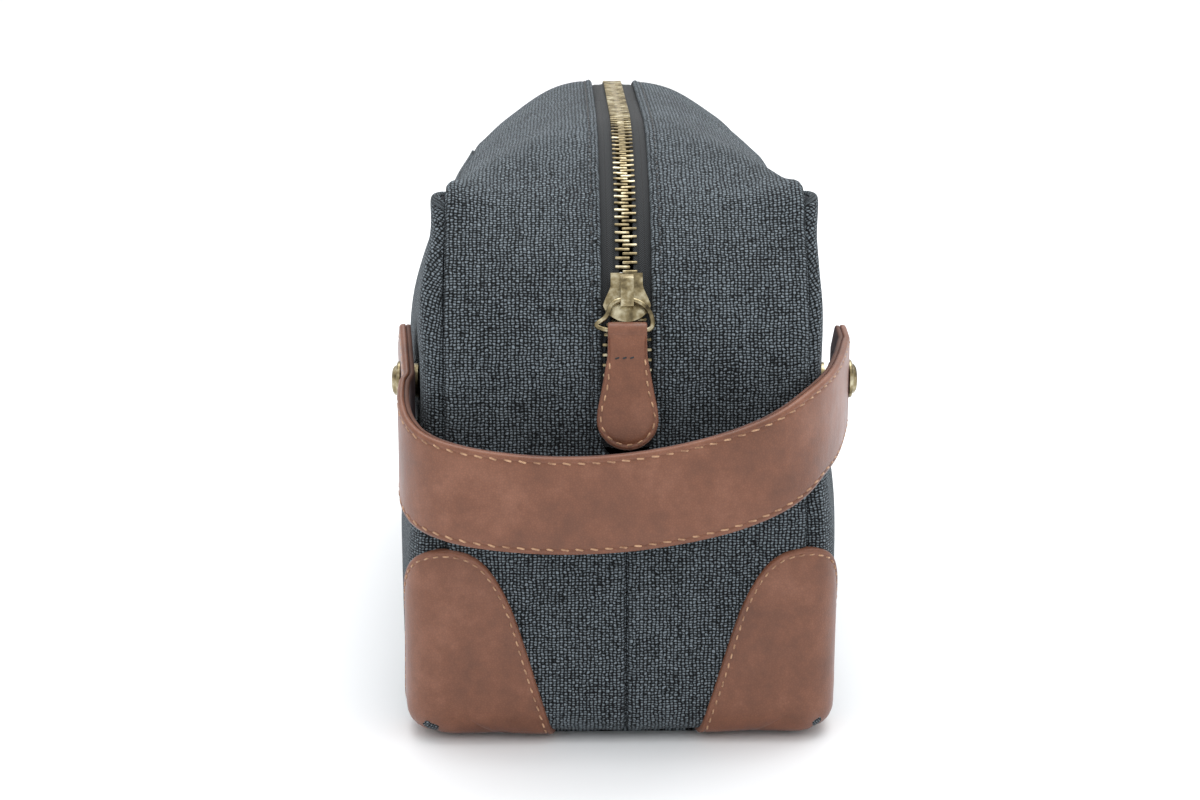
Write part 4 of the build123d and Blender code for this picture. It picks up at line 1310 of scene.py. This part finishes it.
# %% Rivets
CAP_PROFILE = (
    (0.0, 2.5), (2.0, 2.45), (3.2, 2.2), (3.9, 1.7), (4.1, 1.2), (4.3, 1.0),
    (4.6, 1.05), (5.0, 0.9), (5.2, 0.55), (5.15, 0.1), (4.9, -0.1), (0.0, -0.1),
)
WASHER_PROFILE = ((0.0, 0.0), (4.3, 0.0), (4.6, -0.25), (4.6, -1.5), (4.3, -1.8), (0.0, -1.8))


def spun(name, profile, x, sign, around=48):
    """A profile of radius and height, spun round the rivet axis."""
    turns = np.linspace(0, 2 * math.pi, around, endpoint=False)
    points, faces = [], []
    for radius, height in profile:
        for a in turns:
            points.append((sign * (x + height), RIVET[1] + radius * math.cos(a), RIVET[2] + radius * math.sin(a)))
    for i in range(len(profile) - 1):
        for j in range(around):
            k = (j + 1) % around
            face = (i * around + j, i * around + k, (i + 1) * around + k, (i + 1) * around + j)
            faces.append(face if sign < 0 else face[::-1])
    obj = mesh_object(name, points, faces, [BRASS])
    bpy.ops.object.select_all(action="DESELECT")
    obj.select_set(True)
    bpy.context.view_layer.objects.active = obj
    bpy.ops.object.mode_set(mode="EDIT")
    bpy.ops.mesh.select_all(action="SELECT")
    bpy.ops.mesh.remove_doubles(threshold=0.00001)
    bpy.ops.mesh.normals_make_consistent(inside=False)
    bpy.ops.object.mode_set(mode="OBJECT")
    bpy.ops.object.shade_smooth_by_angle(angle=math.radians(40))
    obj.select_set(False)
    return obj


for sign, side in ((-1, "left"), (1, "right")):
    middle = STRAP_X if sign > 0 else STRAP_X - 0.6
    cap = spun(side + "_rivet_cap_turned", CAP_PROFILE, middle + 1.5, sign)
    finish_piece(cap, "bag", [side + "_rivet_cap"])
    washer = spun(side + "_rivet_washer_turned", WASHER_PROFILE, middle - 1.7, sign)
    finish_piece(washer, "bag", [side + "_rivet_washer"])
print("rivets at x", round(STRAP_X, 2))

# %% [markdown]
# ## The zip pull
# The pull is one strip of leather, folded over the bar of the ring and sewn to a backing. Its neck is straight,
# its end is wide and round. It is made in rings like the patches, and a loop joins the two leaves at the neck.

# %% Pull shape
PULL_LEAN = math.radians(12.0)
PULL_LENGTH, PULL_NECK, PULL_TIP = 30.6, 5.0, 7.9


def joint_place(name):
    """Where a hinge of the row is, in mm."""
    joint = next(j for j in frame["joints"] if j["name"] == name)
    return np.array(joint["pos_m"]) / MM


BAR = joint_place("pull_swing")
PULL_DOWN = np.array([0, -math.sin(PULL_LEAN), -math.cos(PULL_LEAN)])
PULL_OUT = np.array([0, -math.cos(PULL_LEAN), math.sin(PULL_LEAN)])


def pull_outline():
    """The pull seen flat: (across, down) from the bar."""
    side = [(PULL_NECK, 0.0), (PULL_NECK, 3.0), (PULL_NECK + 0.15, 7.0), (6.6, 15.0), (7.7, 20.5)]
    centre = PULL_LENGTH - PULL_TIP
    turns = np.linspace(0.05, math.pi / 2, 14)
    curve = [(PULL_TIP * math.cos(a), centre + PULL_TIP * math.sin(a)) for a in turns]
    right = np.array(side + curve)
    return np.vstack([right, right[-2::-1] * [-1, 1]])


def lay_pull(flat, out):
    """Flat points of the pull in the row frame, with a slight bow along its length."""
    bow = 0.5 * np.sin(np.clip(flat[..., 1] / PULL_LENGTH, 0, 1) * math.pi)
    across = flat[..., :1] * np.array([1.0, 0, 0])
    return BAR + across + flat[..., 1:] * PULL_DOWN + (out + bow)[..., None] * PULL_OUT


PULL_RIM = (
    (0.0, -0.3), (0.0, 0.35), (0.2, 0.8), (0.6, 1.05), (1.0, 1.0),
    (1.35, 0.72), (1.8, 0.95), (2.6, 1.12), (4.0, 1.15),
)


def pull_leaf(name, base, rim, material, nodes, turned):
    outline, _ = even_outline(pull_outline(), 130)
    rings, heights = outline_rings(outline, np.array([0.0, 16.0]), rim)
    count = rings.shape[1]
    laid = lay_pull(rings, np.broadcast_to(base + heights[:, None] * turned, rings.shape[:2]))
    middle = lay_pull(np.array([[0.0, 16.0]]), np.array([base + heights[-1] * turned]))
    obj = mesh_object(name, np.vstack([laid.reshape(-1, 3), middle]), ring_faces(len(rings), count), [material])
    bpy.ops.object.select_all(action="DESELECT")
    obj.select_set(True)
    bpy.context.view_layer.objects.active = obj
    wall = obj.modifiers.new("smooth", "SUBSURF")
    wall.levels = wall.render_levels = 1
    apply_modifiers(obj)
    finish_piece(obj, "pull", nodes)
    return outline


outline = pull_leaf("pull_leather", 0.8, PULL_RIM, LEATHER, ["pull_front"], 1.0)
BACKING_RIM = ((0.0, -0.1), (0.1, 0.6), (0.5, 0.9), (2.0, 0.95))
pull_leaf("pull_backing", 0.55, BACKING_RIM, LEATHER_BACK, ["pull_back"], -1.0)


# %% Loop and pull stitches
def pull_loop():
    """The fold over the bar, from a cylinder whose lower half is opened and drawn down."""
    angles = np.linspace(-0.35, math.pi + 0.9, 20)
    outer, inner, half = 2.0, 0.8, PULL_NECK
    across = np.array([-half, -half + 0.12, -half + 0.5, 0.0, half - 0.5, half - 0.12, half])
    inset = np.array([0.35, 0.1, 0.0, -0.05, 0.0, 0.1, 0.35])
    grid = []
    for a in angles:
        up, out = math.sin(a), math.cos(a)
        sideways = np.array([1.0, 0, 0])
        away = out * PULL_OUT - up * PULL_DOWN
        ring = [BAR + x * sideways + (outer - c) * away for x, c in zip(across, inset)]
        ring += [BAR + x * sideways + inner * away for x in across[::-1]]
        grid.append(ring)
    grid = np.array(grid)
    rows, columns = grid.shape[:2]
    faces = grid_faces(rows, columns, wrap=True)
    faces.append(tuple(range(columns))[::-1])
    faces.append(tuple((rows - 1) * columns + c for c in range(columns)))
    obj = mesh_object("pull_fold", grid.reshape(-1, 3), faces, [LEATHER])
    bpy.ops.object.select_all(action="DESELECT")
    obj.select_set(True)
    bpy.context.view_layer.objects.active = obj
    bpy.ops.object.mode_set(mode="EDIT")
    bpy.ops.mesh.select_all(action="SELECT")
    bpy.ops.mesh.normals_make_consistent(inside=False)
    bpy.ops.object.mode_set(mode="OBJECT")
    bpy.ops.object.shade_smooth_by_angle(angle=math.radians(60))
    obj.select_set(False)
    finish_piece(obj, "pull", ["pull_front"])


pull_loop()
spokes = np.array([0.0, 16.0]) - outline
line = outline + spokes / np.linalg.norm(spokes, axis=1, keepdims=True) * 1.35
line = line[line[:, 1] > 6.5]
right = line[line[:, 0] >= 0]
left = line[line[:, 0] < 0]
right, left = right[np.argsort(right[:, 1])], left[np.argsort(-left[:, 1])]
line = np.vstack([right, left])
seam = lay_pull(line, np.full(len(line), 1.7))
place, way, up = along_line(seam, np.tile(PULL_OUT, (len(seam), 1)), 2.75)
thread = sew("pull_stitches", place, way, up, 1.8, 0.5, TAN_THREAD, 0.15)
finish_piece(thread, "pull")
row = lay_pull(np.array([[-3.6, 7.2], [3.6, 7.0]]), np.array([1.85, 1.85]))
place, way, up = along_line(row, np.tile(PULL_OUT, (2, 1)), 1.9)
thread = sew("pull_neck_stitches", place, way, up, 1.5, 0.55, DARK_THREAD, 0.3)
finish_piece(thread, "pull")

# %% [markdown]
# ## Metal parts and board
# The slider, its crown, the ring, the stops, the rivets' bases and the base board are right in CAD, so they
# stay and only get their finish.

# %% Finish the CAD nodes that stay
for node, obj in frame["nodes"].items():
    if obj.hide_render:
        continue
    obj.data.materials.clear()
    obj.data.materials.append(BOARD if node == "base_board" else BRASS)
    print("CAD node shown:", node)

# %% [markdown]
# ## Floor
# A white floor catches the soft shadow.

# %% Finish
bpy.ops.object.select_all(action="DESELECT")
bpy.ops.mesh.primitive_plane_add(size=6.0, location=(0, 0, 0))
floor = bpy.context.object
floor.name = "floor"
floor_material, _, _ = new_material("white_sweep", Roughness=0.6)
floor_material.node_tree.nodes["Principled BSDF"].inputs["Base Color"].default_value = linear("#F4F6F8")
floor.data.materials.append(floor_material)
